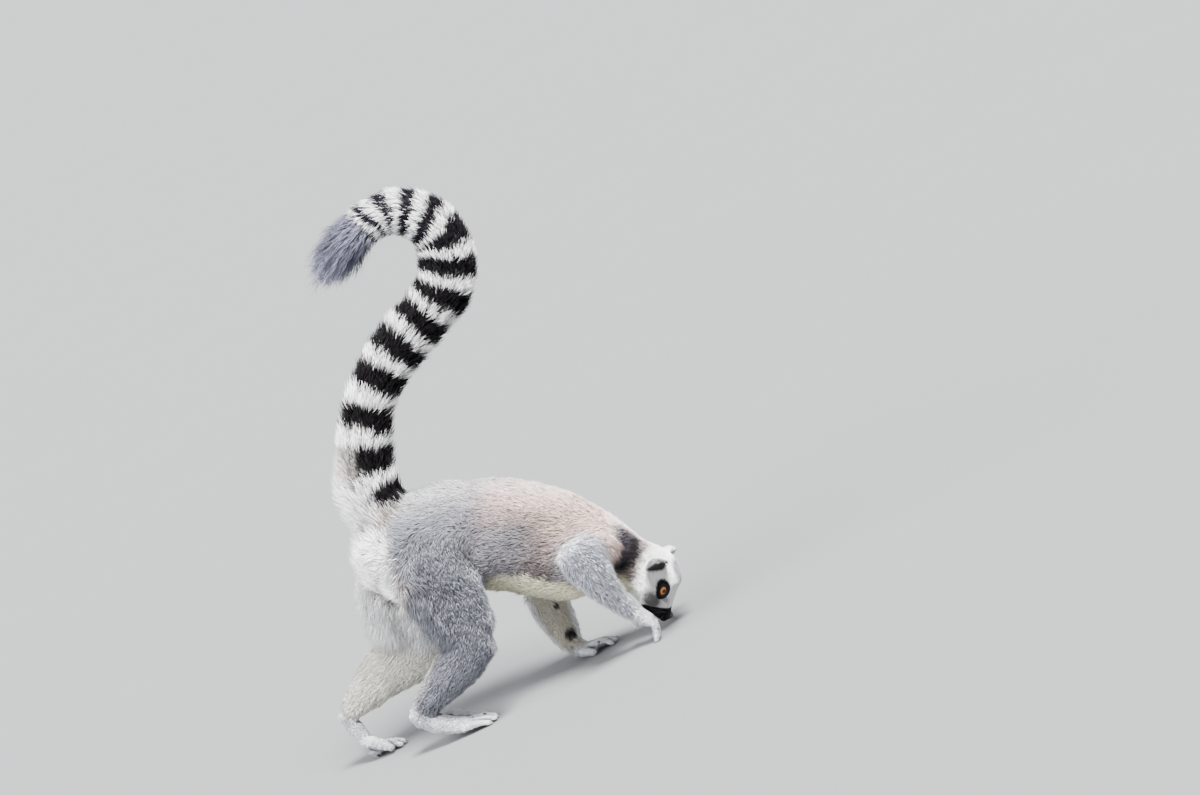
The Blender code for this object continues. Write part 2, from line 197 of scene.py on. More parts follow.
class Shader:
    """A material whose nodes are added by one method and joined by expressions."""

    def __init__(self, name, **constants):
        self.material = bpy.data.materials.new(name)
        self.material.use_nodes = True
        self.nodes = self.material.node_tree.nodes
        self.links = self.material.node_tree.links
        self.surface = self.nodes["Principled BSDF"]
        for socket, value in constants.items():
            self.surface.inputs[socket.replace("_", " ")].default_value = value

    def node(self, kind, settings=(), inputs=()):
        """Add a node, set its settings first, then the values or links of its sockets."""
        made = self.nodes.new(kind)
        for key, value in dict(settings).items():
            if key == "stops":
                self._ramp(made.color_ramp, value)
            else:
                setattr(made, key, value)
        for key, value in dict(inputs).items():
            if isinstance(value, Value):
                self.links.new(value.socket, made.inputs[key])
            else:
                made.inputs[key].default_value = value
        return Made(self, made)

    def _ramp(self, ramp, stops):
        while len(ramp.elements) < len(stops):
            ramp.elements.new(1.0)
        for element, (position, colour) in zip(ramp.elements, stops):
            element.position, element.color = position, (*colour, 1.0)

    def attribute(self, name):
        return self.node("ShaderNodeAttribute", {"attribute_name": name})

    def place(self):
        return self.node("ShaderNodeTexCoord").out("Object")

    def noise(self, scale, detail=2.0, vector=None, output="Fac"):
        inputs = {"Vector": vector or self.place(), "Scale": scale, "Detail": detail}
        return self.node("ShaderNodeTexNoise", {}, inputs).out(output)

    def mix(self, share, first, second):
        """Colour between first and second by share."""
        settings = {"data_type": "RGBA"}
        return self.node("ShaderNodeMix", settings, {0: share, 6: first, 7: second}).out(2)

    def scaled(self, colour, factor):
        """Colour times a number."""
        made = self.node("ShaderNodeVectorMath", {"operation": "SCALE"}, {0: colour, "Scale": factor})
        return made.out(0)

    def bump(self, height, strength, distance):
        inputs = {"Height": height, "Strength": strength, "Distance": distance}
        return self.node("ShaderNodeBump", {}, inputs).out("Normal")

    def feed(self, socket, value):
        self.links.new(value.socket, self.surface.inputs[socket])
        return self


# %% [markdown]
# ## Floor
# A wide sheet of pale paper lies under the feet. It reaches so far that its edge is never seen, and a
# faint mottle keeps it from looking like a flat fill.

# %% Floor
FLOOR_REACH = 70.0
PAPER = np.array((0.155, 0.16, 0.165, 1.0))
MOTTLE = np.array((0.015, 0.015, 0.015, 0.0))       # how far the paper's tone strays to each side


def paper_floor():
    """A wide pale sheet of studio paper with a faint mottle."""
    shader = Shader("studio_paper", Roughness=0.9)
    dark, light = (PAPER * (1 - MOTTLE)).tolist(), (PAPER * (1 + MOTTLE)).tolist()
    shader.feed("Base Color", shader.mix(shader.noise(3.0, 3.0), dark, light))
    corners = np.array([(-1, -1, 0), (1, -1, 0), (1, 1, 0), (-1, 1, 0)]) * FLOOR_REACH
    mesh = bpy.data.meshes.new("floor")
    mesh.from_pydata(corners.tolist(), [], [(0, 1, 2, 3)])
    mesh.materials.append(shader.material)
    made = bpy.data.objects.new("floor", mesh)
    bpy.context.scene.collection.objects.link(made)
    print("floor:", 2 * FLOOR_REACH, "m wide")


paper_floor()


# %% [markdown]
# ## Landmarks of the body
# Hair lies along the body, so the coat has to know where the joints are. Two neighbouring solids almost
# touch where a person would name the joint, and the middle of that meeting is the joint. The tail's
# centre line runs from meeting to meeting through the middles of its lengths.

# %% The solids as arrays
MERGE = 1e-5


def solid_arrays(name):
    """Points and triangles of a CAD node, with its loose corners merged."""
    mesh = nodes[name].data
    points = np.empty(len(mesh.vertices) * 3)
    mesh.vertices.foreach_get("co", points)
    mesh.calc_loop_triangles()
    corners = np.empty(len(mesh.loop_triangles) * 3, int)
    mesh.loop_triangles.foreach_get("vertices", corners)
    keys = np.round(points.reshape(-1, 3) / MERGE).astype(int)
    _, first, place_of = np.unique(keys, axis=0, return_index=True, return_inverse=True)
    return points.reshape(-1, 3)[first], place_of.ravel()[corners].reshape(-1, 3)


solids = {name: solid_arrays(name) for name in sorted(nodes)}
print("triangles in the solids:", sum(len(faces) for _, faces in solids.values()))


# %% [markdown]
# ## Joints and curves
# The nearest point of one cloud to another is asked for many times below. It is worked out for whole
# blocks of points at once, which needs no search tree and is quick enough for this many points.

# %% Nearest points and meetings
def nearest(points, targets, block=4000):
    """Index of the nearest target for each point, and its distance: |p|^2 + |t|^2 - 2 p.t by blocks."""
    targets = targets.astype(np.float32)
    size = (targets ** 2).sum(axis=1)
    index, square = np.empty(len(points), int), np.empty(len(points))
    for start in range(0, len(points), block):
        part = points[start:start + block].astype(np.float32)
        gap = size[None] - 2 * part @ targets.T
        found = gap.argmin(axis=1)
        index[start:start + block] = found
        square[start:start + block] = gap[np.arange(len(part)), found] + (part ** 2).sum(axis=1)
    return index, np.sqrt(np.maximum(square, 0))


def meeting(first, second, reach=0.002):
    """Middle of the points of one solid that nearly touch another."""
    points = solids[first][0]
    _, gap = nearest(points, solids[second][0])
    return points[gap < max(reach, gap.min() * 1.5)].mean(axis=0)


def middle(name):
    return solids[name][0].mean(axis=0)


def farthest(name, origin):
    """The point of a solid that lies farthest from origin."""
    points = solids[name][0]
    return points[np.linalg.norm(points - origin, axis=1).argmax()]


def curve(rows, at):
    """Catmull-Rom curve through the rows, read at values from 0 to 1."""
    rows = np.asarray(rows, float)
    padded = np.vstack([2 * rows[0] - rows[1], rows, 2 * rows[-1] - rows[-2]])
    reach = np.clip(at, 0, 1) * (len(rows) - 1)
    step = np.minimum(reach.astype(int), len(rows) - 2)
    u = (reach - step)[:, None]
    before, start, end, after = (padded[step + k] for k in range(4))
    return 0.5 * (2 * start + (end - before) * u
                  + (2 * before - 5 * start + 4 * end - after) * u ** 2
                  + (3 * start - before - 3 * end + after) * u ** 3)


print("the neck meets the trunk at", meeting("neck", "trunk").round(3))

# %% [markdown]
# ## The lines that the hair follows
# The tail's centre line is a smooth curve through the middles and meetings of its lengths. Each limb
# has a direction from joint to joint. On the upper arm the hair falls outwards and down.

# %% The lines that the hair follows
TAIL_NAMES = [f"tail_{k}" for k in range(1, 8)]
SAMPLES = 400


def tail_line():
    """Centre line of the tail from its root to its tip, evenly sampled, and its length so far."""
    rows = [meeting("tail_1", "trunk")]
    for name, following in zip(TAIL_NAMES, TAIL_NAMES[1:] + [None]):
        rows.append(middle(name))
        rows.append(meeting(name, following) if following else farthest(name, rows[-2]))
    line = curve(rows, np.linspace(0, 1, 2000))
    run = np.concatenate([[0], np.cumsum(np.linalg.norm(np.diff(line, axis=0), axis=1))])
    even = np.linspace(0, run[-1], SAMPLES)
    return np.stack([np.interp(even, run, line[:, k]) for k in range(3)], axis=1), even


tail_path, tail_run = tail_line()
tail_root = tail_path[0]
neck_base = meeting("neck", "trunk")
skull = middle("head")
nose_tip = middle("nose")
spine = unit(neck_base - tail_root)
dorsal = unit(np.cross(spine, (0.0, 1.0, 0.0)))
dorsal = dorsal * np.sign(dorsal[2])
print("tail length:", round(float(tail_run[-1]), 3), "m; spine direction:", spine.round(2))

limb_lines = {}
for side in "rl":
    hip, knee = meeting(f"thigh_{side}", "trunk"), meeting(f"shank_{side}", f"thigh_{side}")
    ankle = meeting(f"foot_{side}", f"shank_{side}")
    limb_lines[f"thigh_{side}"] = knee - hip
    limb_lines[f"shank_{side}"] = ankle - knee
    elbow = meeting(f"forearm_{side}", f"upper_arm_{side}")
    wrist = meeting(f"hand_{side}", f"forearm_{side}")
    out = np.array((0.0, 0.8 * np.sign(elbow[1]), -1.0))
    limb_lines[f"upper_arm_{side}"] = out + unit(wrist - elbow) * 0.3
    limb_lines[f"forearm_{side}"] = wrist - elbow
    limb_lines[f"foot_{side}"] = farthest(f"foot_{side}", ankle) - ankle
    limb_lines[f"hand_{side}"] = farthest(f"hand_{side}", wrist) - wrist

# %% [markdown]
# ## The skin
# The body under the hair is one soft closed surface. It could be sculpted by hand, but here it is
# worked out: all the solids are swollen until they touch, remeshed into one even grid, smoothed so that
# shoulders and haunches flow into the trunk, and then pushed inwards by the depth of the coat, which is
# deep on the tail, shallow on the legs and almost nothing on the face and fingers.

# %% Mesh makers
def build(name, points, faces, smooth=True):
    """Mesh object from arrays: points, and faces that all have the same number of corners."""
    mesh = bpy.data.meshes.new(name)
    mesh.vertices.add(len(points))
    mesh.vertices.foreach_set("co", np.asarray(points, np.float32).ravel())
    count, corners = faces.shape
    mesh.loops.add(count * corners)
    mesh.loops.foreach_set("vertex_index", faces.astype(np.int32).ravel())
    mesh.polygons.add(count)
    mesh.polygons.foreach_set("loop_start", np.arange(0, count * corners, corners, dtype=np.int32))
    mesh.update()
    mesh.validate()
    if smooth:
        mesh.shade_smooth()
    made = bpy.data.objects.new(name, mesh)
    bpy.context.scene.collection.objects.link(made)
    return made


def normals_of(points, faces):
    """Point normals: each triangle's own normal, the cross product of two sides, added at its corners."""
    a, b, c = (points[faces[:, k]] for k in range(3))
    face_normal = np.cross(b - a, c - a)
    total = np.zeros_like(points)
    for axis in range(3):
        for corner in range(3):
            total[:, axis] += np.bincount(faces[:, corner], face_normal[:, axis], len(points))
    return unit(total)


# %% [markdown]
# ## One grid over all solids
# The voxel remesher joins everything that touches into one even grid. Most of the body needs far fewer
# triangles than the fingers and the face, so a second step thins the grid out, and hardly at all there.

# %% Remesh the swollen solids into one surface
SWELL = 0.0004
GRID = 0.0014
KEEP = 0.325      # share of the triangles that thinning out leaves
FINE_MARGIN, FINE_SHARE = 0.002, 0.25     # border of the fine parts, and how much they are thinned
FINE_PARTS = ("hand_r", "hand_l", "foot_r", "foot_l", "ear_r", "ear_l", "eye_r", "eye_l", "nose")


def joined_solids():
    """All solids as one list of points and triangles, each swollen along its normals."""
    points, faces, start = [], [], 0
    for name, (corner, triangles) in solids.items():
        points.append(corner + normals_of(corner, triangles) * SWELL)
        faces.append(triangles + start)
        start += len(corner)
    return np.vstack(points), np.vstack(faces)


def arrays_of(mesh):
    """Points, triangles and edges of a mesh."""
    points = np.empty(len(mesh.vertices) * 3)
    mesh.vertices.foreach_get("co", points)
    mesh.calc_loop_triangles()
    faces = np.empty(len(mesh.loop_triangles) * 3, int)
    mesh.loop_triangles.foreach_get("vertices", faces)
    faces = faces.reshape(-1, 3)
    sides = np.sort(np.vstack([faces[:, [0, 1]], faces[:, [1, 2]], faces[:, [2, 0]]]), axis=1)
    return points.reshape(-1, 3), faces, np.unique(sides, axis=0)


def evaluated(draft):
    """Mesh of a draft with its modifiers worked out; the draft itself is thrown away."""
    graph = bpy.context.evaluated_depsgraph_get()
    mesh = bpy.data.meshes.new_from_object(draft.evaluated_get(graph))
    bpy.data.objects.remove(draft)
    return mesh


def remeshed():
    """The outside of the solids as an even grid, thinned out everywhere but at the face and paws."""
    draft = build("draft", *joined_solids())
    step = draft.modifiers.new("grid", "REMESH")
    step.mode = "VOXEL"
    step.voxel_size = GRID
    points, faces, _ = arrays_of(evaluated(draft))
    fine = np.zeros(len(points), bool)
    for name in FINE_PARTS:
        low, high = (np.array(corner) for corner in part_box(name))
        fine |= ((points > low - FINE_MARGIN) & (points < high + FINE_MARGIN)).all(axis=1)
    draft = build("draft", points, faces)
    group = draft.vertex_groups.new(name="coarse")
    group.add(np.flatnonzero(~fine).tolist(), 1.0, "REPLACE")
    group.add(np.flatnonzero(fine).tolist(), FINE_SHARE, "REPLACE")
    step = draft.modifiers.new("thin", "DECIMATE")
    step.ratio = KEEP
    step.vertex_group = "coarse"
    return arrays_of(evaluated(draft))


outer, faces, edges = remeshed()
links = np.bincount(edges.ravel(), minlength=len(outer)).astype(float)
print("skin grid:", len(outer), "points,", len(faces), "triangles")


def relax(values, rounds, share=0.5):
    """Blend each point's value with the mean of its neighbours', round after round."""
    values = np.array(values, float)
    flat = values.reshape(len(values), -1)
    first, second = edges.T
    share = np.broadcast_to(np.asarray(share, float).reshape(-1, 1), (len(values), 1))
    for _ in range(rounds):
        for axis in range(flat.shape[1]):
            total = np.bincount(first, flat[second, axis], len(flat))
            total += np.bincount(second, flat[first, axis], len(flat))
            flat[:, axis] += share[:, 0] * (total / links - flat[:, axis])
    return flat.reshape(values.shape)


# %% [markdown]
# ## Parts of the skin
# The skin is one piece, but a haunch and a finger want different depths, hair and colours. Each point
# belongs to the solid nearest to it, and a value per part is softened over the grid, so that one part
# runs into the next without a line.

# %% Which solid each point of the skin belongs to
names = [name for name in solids]
samples, owner = [], []
for index, name in enumerate(names):
    corner, triangles = solids[name]
    centres = corner[triangles].mean(axis=1)
    samples += [corner, centres]
    owner += [index] * (len(corner) + len(centres))
found, _ = nearest(outer, np.vstack(samples), 2500)
owner = np.array(owner)[found]


def by_part(table, rounds=0, default=0.0):
    """A number for each point of the skin, from a table of part names, softened over its neighbours."""
    values = np.full(len(names), float(default))
    for index, name in enumerate(names):
        for start, value in table.items():
            if name.startswith(start):
                values[index] = value
    return relax(values[owner], rounds) if rounds else values[owner]


print("points on the head:", int((owner == names.index("head")).sum()))

# %% [markdown]
# ## Landmarks of the head
# The face is small and finely marked, so it gets a frame of its own: the way the snout points, the way
# to the crown, the way to the animal's right, and each eye's line of sight with an almond round it.

# %% Landmarks of the head
EYES = {side: middle(f"eye_{side}") for side in "rl"}
EARS = {side: middle(f"ear_{side}") for side in "rl"}
EAR_TIPS = {side: farthest(f"ear_{side}", skull) for side in "rl"}
snout = unit(nose_tip - skull)
head_side = unit(EYES["r"] - EYES["l"])
head_top = np.cross(head_side, snout)
head_top = head_top * np.sign(head_top[0])
SIGN = {"r": 1, "l": -1}
GAZE = {side: unit(snout * 0.40 + head_top * 0.55 + head_side * SIGN[side] * 0.73) for side in "rl"}
EYES = {side: EYES[side] - head_top * 0.0022 - snout * 0.0022 for side in "rl"}
EYE_SLANT = math.radians(20)
EYE_OPENING = (0.0066, 0.0050)      # half length and half height of the opening between the lids
eye_long = -snout * math.cos(EYE_SLANT) + head_top * math.sin(EYE_SLANT)


def eye_reach(points, side, long_half, short_half):
    """1 on the rim of an almond round the line of sight, below 1 inside it and large behind the eye."""
    away = points - EYES[side]
    gaze = GAZE[side]
    long_way = unit(eye_long - gaze * (eye_long @ gaze))
    short_way = np.cross(gaze, long_way)
    reach = np.hypot(away @ long_way / long_half, away @ short_way / short_half)
    return np.where(away @ gaze > 0, reach, 9.0)


print("the snout points along", snout.round(2))

# %% [markdown]
# ## Under the coat
# The grid is smoothed so that shoulders and haunches flow into the trunk, and then sunk by the depth of
# the coat. Round the eyes it stays up as lids, and each ear is hollowed into a bowl. The far ear is laid
# back, as a resting animal's is.

# %% Smooth the skin and sink it under the coat
COAT_DEPTH = {"tail": 12, "trunk": 5.5, "neck": 5.5, "head": 2.6, "ear": 0.9, "eye": 0.3, "nose": 0.6,
              "thigh": 5.5, "shank": 3.8, "foot": 1.0, "upper_arm": 5, "forearm": 3.0, "hand": 0.8}
SOFTNESS = {"trunk": 0.6, "tail": 0.6, "neck": 0.6, "thigh": 0.6, "upper_arm": 0.6, "shank": 0.5,
            "forearm": 0.5, "head": 0.25, "ear": 0.08, "eye": 0.05, "nose": 0.15, "foot": 0.07, "hand": 0.07}
SMOOTH_ROUNDS = 50
FAR_EAR_FOLD, FAR_EAR_BEND = 0.12, 0.28     # how far the far ear is drawn in and laid back
BOWL_SIZE, BOWL_DEPTH = (0.0145, 0.0105), 0.0030
SOLE_HEIGHT = 0.0002

softness = by_part(SOFTNESS, 6)
body = relax(outer, SMOOTH_ROUNDS, softness)
near_nose = np.linalg.norm(outer - nose_tip, axis=1)
depth = by_part(COAT_DEPTH, 60) * 0.001
is_head = by_part({"head": 1, "eye": 1, "nose": 1}, 4)
muzzle_depth = 0.0005 + 0.0028 * ease(0.018, 0.05, near_nose)
depth = depth * (1 - is_head) + np.minimum(depth, muzzle_depth) * is_head
for side in "rl":
    lid = 1 - ease(0.0105, 0.0155, np.linalg.norm(outer - EYES[side], axis=1))
    depth = depth * (1 - lid) - 0.0002 * lid
    opening = 1 - ease(0.85, 1.1, eye_reach(outer, side, *EYE_OPENING))
    depth = depth + 0.0030 * opening
far_axis = unit(EAR_TIPS["l"] - EARS["l"])
beyond = np.maximum((body - EARS["l"]) @ far_axis + 0.006, 0) * by_part({"ear_l": 1}, 3)
body = body - (far_axis * FAR_EAR_FOLD + head_top * FAR_EAR_BEND) * beyond[:, None]
normal = normals_of(body, faces)
for side in "rl":
    axis = unit(EAR_TIPS[side] - EARS[side])
    away = outer - EARS[side] - axis * 0.003
    across = np.cross(axis, snout)
    bowl = 1 - np.hypot(away @ axis / BOWL_SIZE[0], away @ unit(across) / BOWL_SIZE[1]) ** 2
    facing = ease(0.1, 0.7, normal @ snout) * by_part({f"ear_{side}": 1}, 2)
    depth = depth + BOWL_DEPTH * np.clip(bowl, 0, 1) * facing
skin = relax(body - normal * depth[:, None], 6, softness)
skin[:, 2] = np.maximum(skin[:, 2], SOLE_HEIGHT)
normal = normals_of(skin, faces)
print("coat depth in mm from", (depth.min() * 1000).round(1), "to", (depth.max() * 1000).round(1))

# %% [markdown]
# ## The lie of the coat
# Hair points away from the nose over the face and crown, backwards along neck and trunk, down the limbs
# to the fingers and toes, and along the tail to its tip. Each part gives its own direction, the
# directions are blended over the skin, and each is then laid flat in the skin.

# %% Flow over the skin
def part_flow():
    """Direction of the hair at each point, before it is blended."""
    flow = np.tile(-spine, (len(skin), 1))
    for index, name in enumerate(names):
        here = owner == index
        if name.startswith("tail"):
            at, _ = nearest(skin[here], tail_path)
            flow[here] = np.gradient(tail_path, axis=0)[at]
        elif name in limb_lines:
            flow[here] = limb_lines[name]
        elif name.startswith(("head", "eye", "nose")):
            flow[here] = skin[here] - nose_tip
        elif name.startswith("ear"):
            flow[here] = farthest(name, skull) - skull
    return unit(flow)


FLOW_ROUNDS = 260
dice = np.random.default_rng(7)


def smooth_noise(rounds, columns=1):
    """Noise of spread 1 whose patches grow with the rounds of blending."""
    values = relax(dice.normal(0, 1, (len(skin), columns)), rounds, 0.9)
    return (values - values.mean(axis=0)) / values.std(axis=0)


clumps, patches = smooth_noise(14, 3), smooth_noise(120, 2)
flow = relax(part_flow(), FLOW_ROUNDS, 0.5)
loose = 0.20 * (1 - by_part({"head": 0.7, "eye": 1, "hand": 0.8, "foot": 0.8, "tail": 0.5}, 10))
flow = flow + clumps * loose[:, None]
flow = flattened(flow, normal)
print("mean share of the flow along the spine:", (flow @ spine).mean().round(2))

# %% [markdown]
# ## Colours
# Skin and coat share one set of markings, worked out from the landmarks, so that the hide between two
# locks never shows in a wrong colour. They could be painted by hand on an unwrapped picture, but as
# formulas they follow the body when it is changed. First come the colours of the real coat.

# %% Colours of the coat
BEIGE = srgb(212, 181, 166)
# grey-brown of the flanks, darkened partly as painted shade below the lit top of the back
FLANK = srgb(100, 92, 92)
HAUNCH = srgb(133, 135, 144)
# near-white laid over the top of the back: partly the pale rump, partly painted highlight from above
RUMP_AND_TOP_HIGHLIGHT = srgb(232, 232, 236)
SHOULDER_ROSE = srgb(224, 199, 190)
CREAM = srgb(226, 220, 194)
WHITE = srgb(249, 249, 250)
TAN = srgb(214, 182, 150)
INNER_SHANK = srgb(212, 209, 199)
ARM = srgb(232, 234, 245)
GRIZZLE = srgb(122, 124, 140)
INNER_ARM = srgb(204, 198, 184)
PAW = srgb(232, 233, 238)
NECK = srgb(222, 212, 212)
NAPE = srgb(70, 67, 73)
CROWN = srgb(118, 117, 128)
CHEEK = srgb(96, 94, 95)
EAR_RIM = srgb(92, 88, 94)
BLACK = srgb(17, 14, 17)
SOOT = srgb(34, 31, 40)
FADED = srgb(205, 200, 197)
TIP = srgb(126, 126, 145)
ROOT = srgb(182, 165, 152)
LEATHER = srgb(46, 42, 45)


def blend(base, colour, share):
    """Colour laid over a base by share."""
    return base + (colour - base) * np.clip(share, 0, 1)[:, None]


print("a half share of white on black:", blend(BLACK[None], WHITE, np.array([0.5])).round(2))

# %% [markdown]
# ## The rings of the tail
# A ringed tail could be painted ring by ring. Measured along the tail, though, the distance from one
# white ring to the next shrinks steadily towards the tip, so one quadratic law places them all. The
# number that the law gives is whole in the middle of each white ring and half-way in each black one.

# %% The ring law of the tail
FIRST_RING = 0.065                  # metres from the root to the middle of the first white ring
RING_STEP = 0.05525
RING_SHRINK = 0.00161
BRUSH_START = 0.503                 # where the rings give way to the grey brush
BRUSH_DARK = (0.545, 0.022)         # where along the brush it is darkest, and over what length
PALE_BASE = (0.034, 0.044)          # where the white of the root ends


def ring_number(run):
    """Solves run = first + step k - shrink k^2 for k, so whole numbers are middles of white rings."""
    inside = np.maximum(RING_STEP ** 2 - 4 * RING_SHRINK * (run - FIRST_RING), 1e-8)
    return (RING_STEP - np.sqrt(inside)) / (2 * RING_SHRINK)


def ring_colour(run, around, jitter):
    """White and black rings, a grey brush at the tip and a pale root; around is 1 on the underside."""
    number = ring_number(run + jitter + 0.006 * around * ease(0.3, 0.42, run))
    gap = np.abs(number - np.round(number))
    half = 0.17 + 0.02 * (number < 2.5) + 0.07 * ease(7, 10.5, number) + 0.05 * around * (number < 2.5)
    white = 1 - ease(half - 0.02, half + 0.02, gap)
    soot = BLACK + (SOOT - BLACK) * ease(0.35, 0.5, run)[:, None]
    colour = blend(soot, WHITE, white)
    faded = (1 - white) * ease(0.2, 0.9, around) * (1 - ease(0.088, 0.122, run))
    colour = blend(colour, FADED, faded * 0.9)
    brush = TIP * (1 - 0.35 * np.exp(-((run - BRUSH_DARK[0]) / BRUSH_DARK[1]) ** 2))[:, None]
    in_brush = ease(BRUSH_START - 0.006, BRUSH_START + 0.010, run + jitter)
    colour = colour + (brush - colour) * in_brush[:, None]
    base = 1 - ease(*PALE_BASE, run + jitter - 0.030 * np.maximum(around, -0.3))
    return blend(colour, WHITE, base)


print("the brush starts at ring number", ring_number(BRUSH_START).round(1))

# %% [markdown]
# ## What every point of the skin knows
# A marking asks where it is: on which part, how far along the tail, in a hollow or on a ridge. These
# fields are worked out once at the points of the skin, and every lock reads them at its own root.

# %% Fields over the skin
def parts_weight(*starts, rounds=6):
    return by_part({start: 1 for start in starts}, rounds)


weights = {
    "tail": parts_weight("tail", rounds=5),
    "trunk": parts_weight("trunk", rounds=30),
    "neck": parts_weight("neck", rounds=40),
    "head": parts_weight("head", "eye", "nose", "ear", rounds=8),
    "ear": parts_weight("ear", rounds=3),
    "thigh": parts_weight("thigh", rounds=40),
    "shank": parts_weight("shank", rounds=25),
    "arm": parts_weight("upper_arm", "forearm", rounds=14),
    "paw": parts_weight("hand", "foot", rounds=8),
    # hollow: how deep a point lies in a crease; its only use is painted shade between the digits of the paws
    "hollow": ease(0.03, 0.20, ((relax(skin, 9) - skin) * normal).sum(axis=1) * 1000),
    "clump": smooth_noise(10)[:, 0],
    "patch": patches[:, 0],
    "tone": patches[:, 1],
}
at_tail, _ = nearest(skin, tail_path)
weights["run"] = tail_run[at_tail]
outward = unit(skin - tail_path[at_tail])
tail_under = np.cross(np.gradient(tail_path, axis=0)[at_tail], (0.0, 1.0, 0.0))
weights["under"] = (outward * unit(tail_under)).sum(axis=1)
print("fields:", ", ".join(weights))

# %% [markdown]
# ## The trunk and the legs
# The back of a lemur is a warm beige that fades into grey-brown flanks, blue-grey haunches and a pale
# rump. The belly, the insides of the legs and the whole rear are cream to white, with a tan line where
# the white begins. Each colour is laid over the last one by a smooth share of a place or a direction.
# Light is painted in as well: the near-white over the top of the back is partly painted highlight, and
# the flanks below it are darkened partly as painted shade.

# %% Trunk and leg colours
HAUNCH_BACK = -0.0823               # where the white of the rear begins at mid thigh
HAUNCH_BOW = (0.010, 0.17, 0.08)    # how far that line bows, about which height, and over what height


def trunk_colour(at):
    """Flank to haunch along the spine, beige and rump from above with painted highlight on top and painted
    shade on the flanks, cream belly; also the belly's share.
    """
    up, fine = at["up"], at["fine"]
    along = (at["place"] - tail_root) @ spine / np.linalg.norm(neck_base - tail_root)
    colour = np.tile(FLANK, (len(up), 1))
    colour = blend(colour, HAUNCH, 1 - ease(0.15, 0.75, along + fine))
    # how far a point faces up sets the beige and the near-white: partly the back's own colours, partly
    # painted highlight on the top and painted shade on the flanks
    colour = blend(colour, BEIGE, ease(0.08, 0.80, up + fine * 2) * ease(0.12, 0.62, along + fine))
    rump_and_top_highlight = ease(0.34, 0.90, up + fine) * (1 - 0.50 * ease(0.10, 0.5, along)) * 0.9
    colour = blend(colour, RUMP_AND_TOP_HIGHLIGHT, rump_and_top_highlight)
    colour = blend(colour, SHOULDER_ROSE, ease(0.6, 1.0, along) * ease(-0.3, 0.4, up) * 0.8)
    belly = ease(0.28, 0.62, -up + fine) * ease(0.10, 0.25, along)
    return blend(colour, CREAM, belly * at["trunk"]), belly


def rear_share(at):
    """How white the rear is: behind a bowed line on the haunch, on inner sides and under the tail."""
    height, inner, fine, jitter = at["place"][:, 2], at["inner"], at["fine"], at["jitter"]
    back, shank = -at["normal"][:, 0], at["shank"]
    bow, middle_height, reach = HAUNCH_BOW
    line = HAUNCH_BACK + bow * ((height - middle_height) / reach) ** 2
    beyond_line = np.where(height > 0.10, line - at["place"][:, 0], 1.0)
    behind = ease(0.35, 0.75, back + fine) * ease(-0.006, 0.008, beyond_line + jitter)
    behind = behind * (1 - 0.65 * shank * ease(0.05, 0.07, height))
    pale = at["leg"] * np.maximum(ease(-0.10, 0.35, inner + fine), behind)
    rear = ease(0.0, 0.012, beyond_line + jitter * 2 + 0.03 * np.clip(inner, 0, 1))
    rear = rear * (at["side"] < 0) * ease(0.10, 0.16, height) * (1 - shank)
    under_tail = ease(0.45, 0.85, -at["normal"] @ spine + fine * 0.5) * at["trunk"]
    return np.maximum(np.maximum(pale, rear), under_tail)


def leg_colour(colour, at, pale):
    """Grey haunch and shank, a tan seam, the white of the rear, and a pale front edge."""
    colour = blend(colour, HAUNCH, at["leg"])
    colour = blend(colour, HAUNCH * 0.86, at["shank"] * (1 - ease(0.06, 0.12, at["place"][:, 2])))
    colour = blend(colour, TAN, 4 * pale * (1 - pale) * (0.5 - 0.35 * at["shank"]))
    low_inner = at["shank"] * ease(0.0, 0.4, at["inner"])
    colour = blend(colour, INNER_SHANK, pale * low_inner)
    colour = blend(colour, WHITE, pale * (1 - low_inner))
    return blend(colour, ARM, ease(0.55, 0.9, at["normal"][:, 0]) * at["leg"] * 0.45)


# %% [markdown]
# ## The arms, the neck and the scent spots
# The arms are silvery with dark hairs scattered through them, which is what makes them look grizzled.
# So single locks are picked by chance there and darkened. On the neck lies a dark patch, and on the
# inner side of each forearm are two bare black scent spots.

# %% Arm and neck colours
SHOULDER, SHOULDER_LEAN = (0.1507, 0.110), 0.04
NAPE_PLACE, NAPE_SIZE = np.array((0.1797, 0.0, 0.108)), (0.029, 0.026)
SCENT_SPOTS = ((0.70, 0.0062), (0.16, 0.0034))      # share of the forearm from the elbow, and size


def arm_colour(colour, at):
    """Silver arm with dark locks by chance, a pale inner side and edge; also the arm's share."""
    x, height = at["place"][:, 0], at["place"][:, 2]
    edge = np.abs(at["normal"][:, 0])
    shoulder_line = x - SHOULDER[0] + (height - SHOULDER[1]) * SHOULDER_LEAN
    breast = ease(-0.004, 0.006, shoulder_line + at["jitter"]) * (at["side"] < 0) * ease(0.075, 0.10, height)
    arm = at["arm"] * (1 - breast)
    outer_arm = arm * ease(-0.2, 0.3, -at["inner"])
    grizzle = (at["grain"] < 0.36 - 0.25 * ease(0.5, 0.9, edge)) * outer_arm
    colour = blend(colour, ARM, arm)
    colour = blend(colour, GRIZZLE, grizzle)
    colour = blend(colour, INNER_ARM, arm * ease(-0.1, 0.5, at["inner"] + at["fine"]))
    return blend(colour, WHITE, arm * ease(-0.6, 0.3, at["inner"]) * ease(0.5, 0.85, edge)), arm


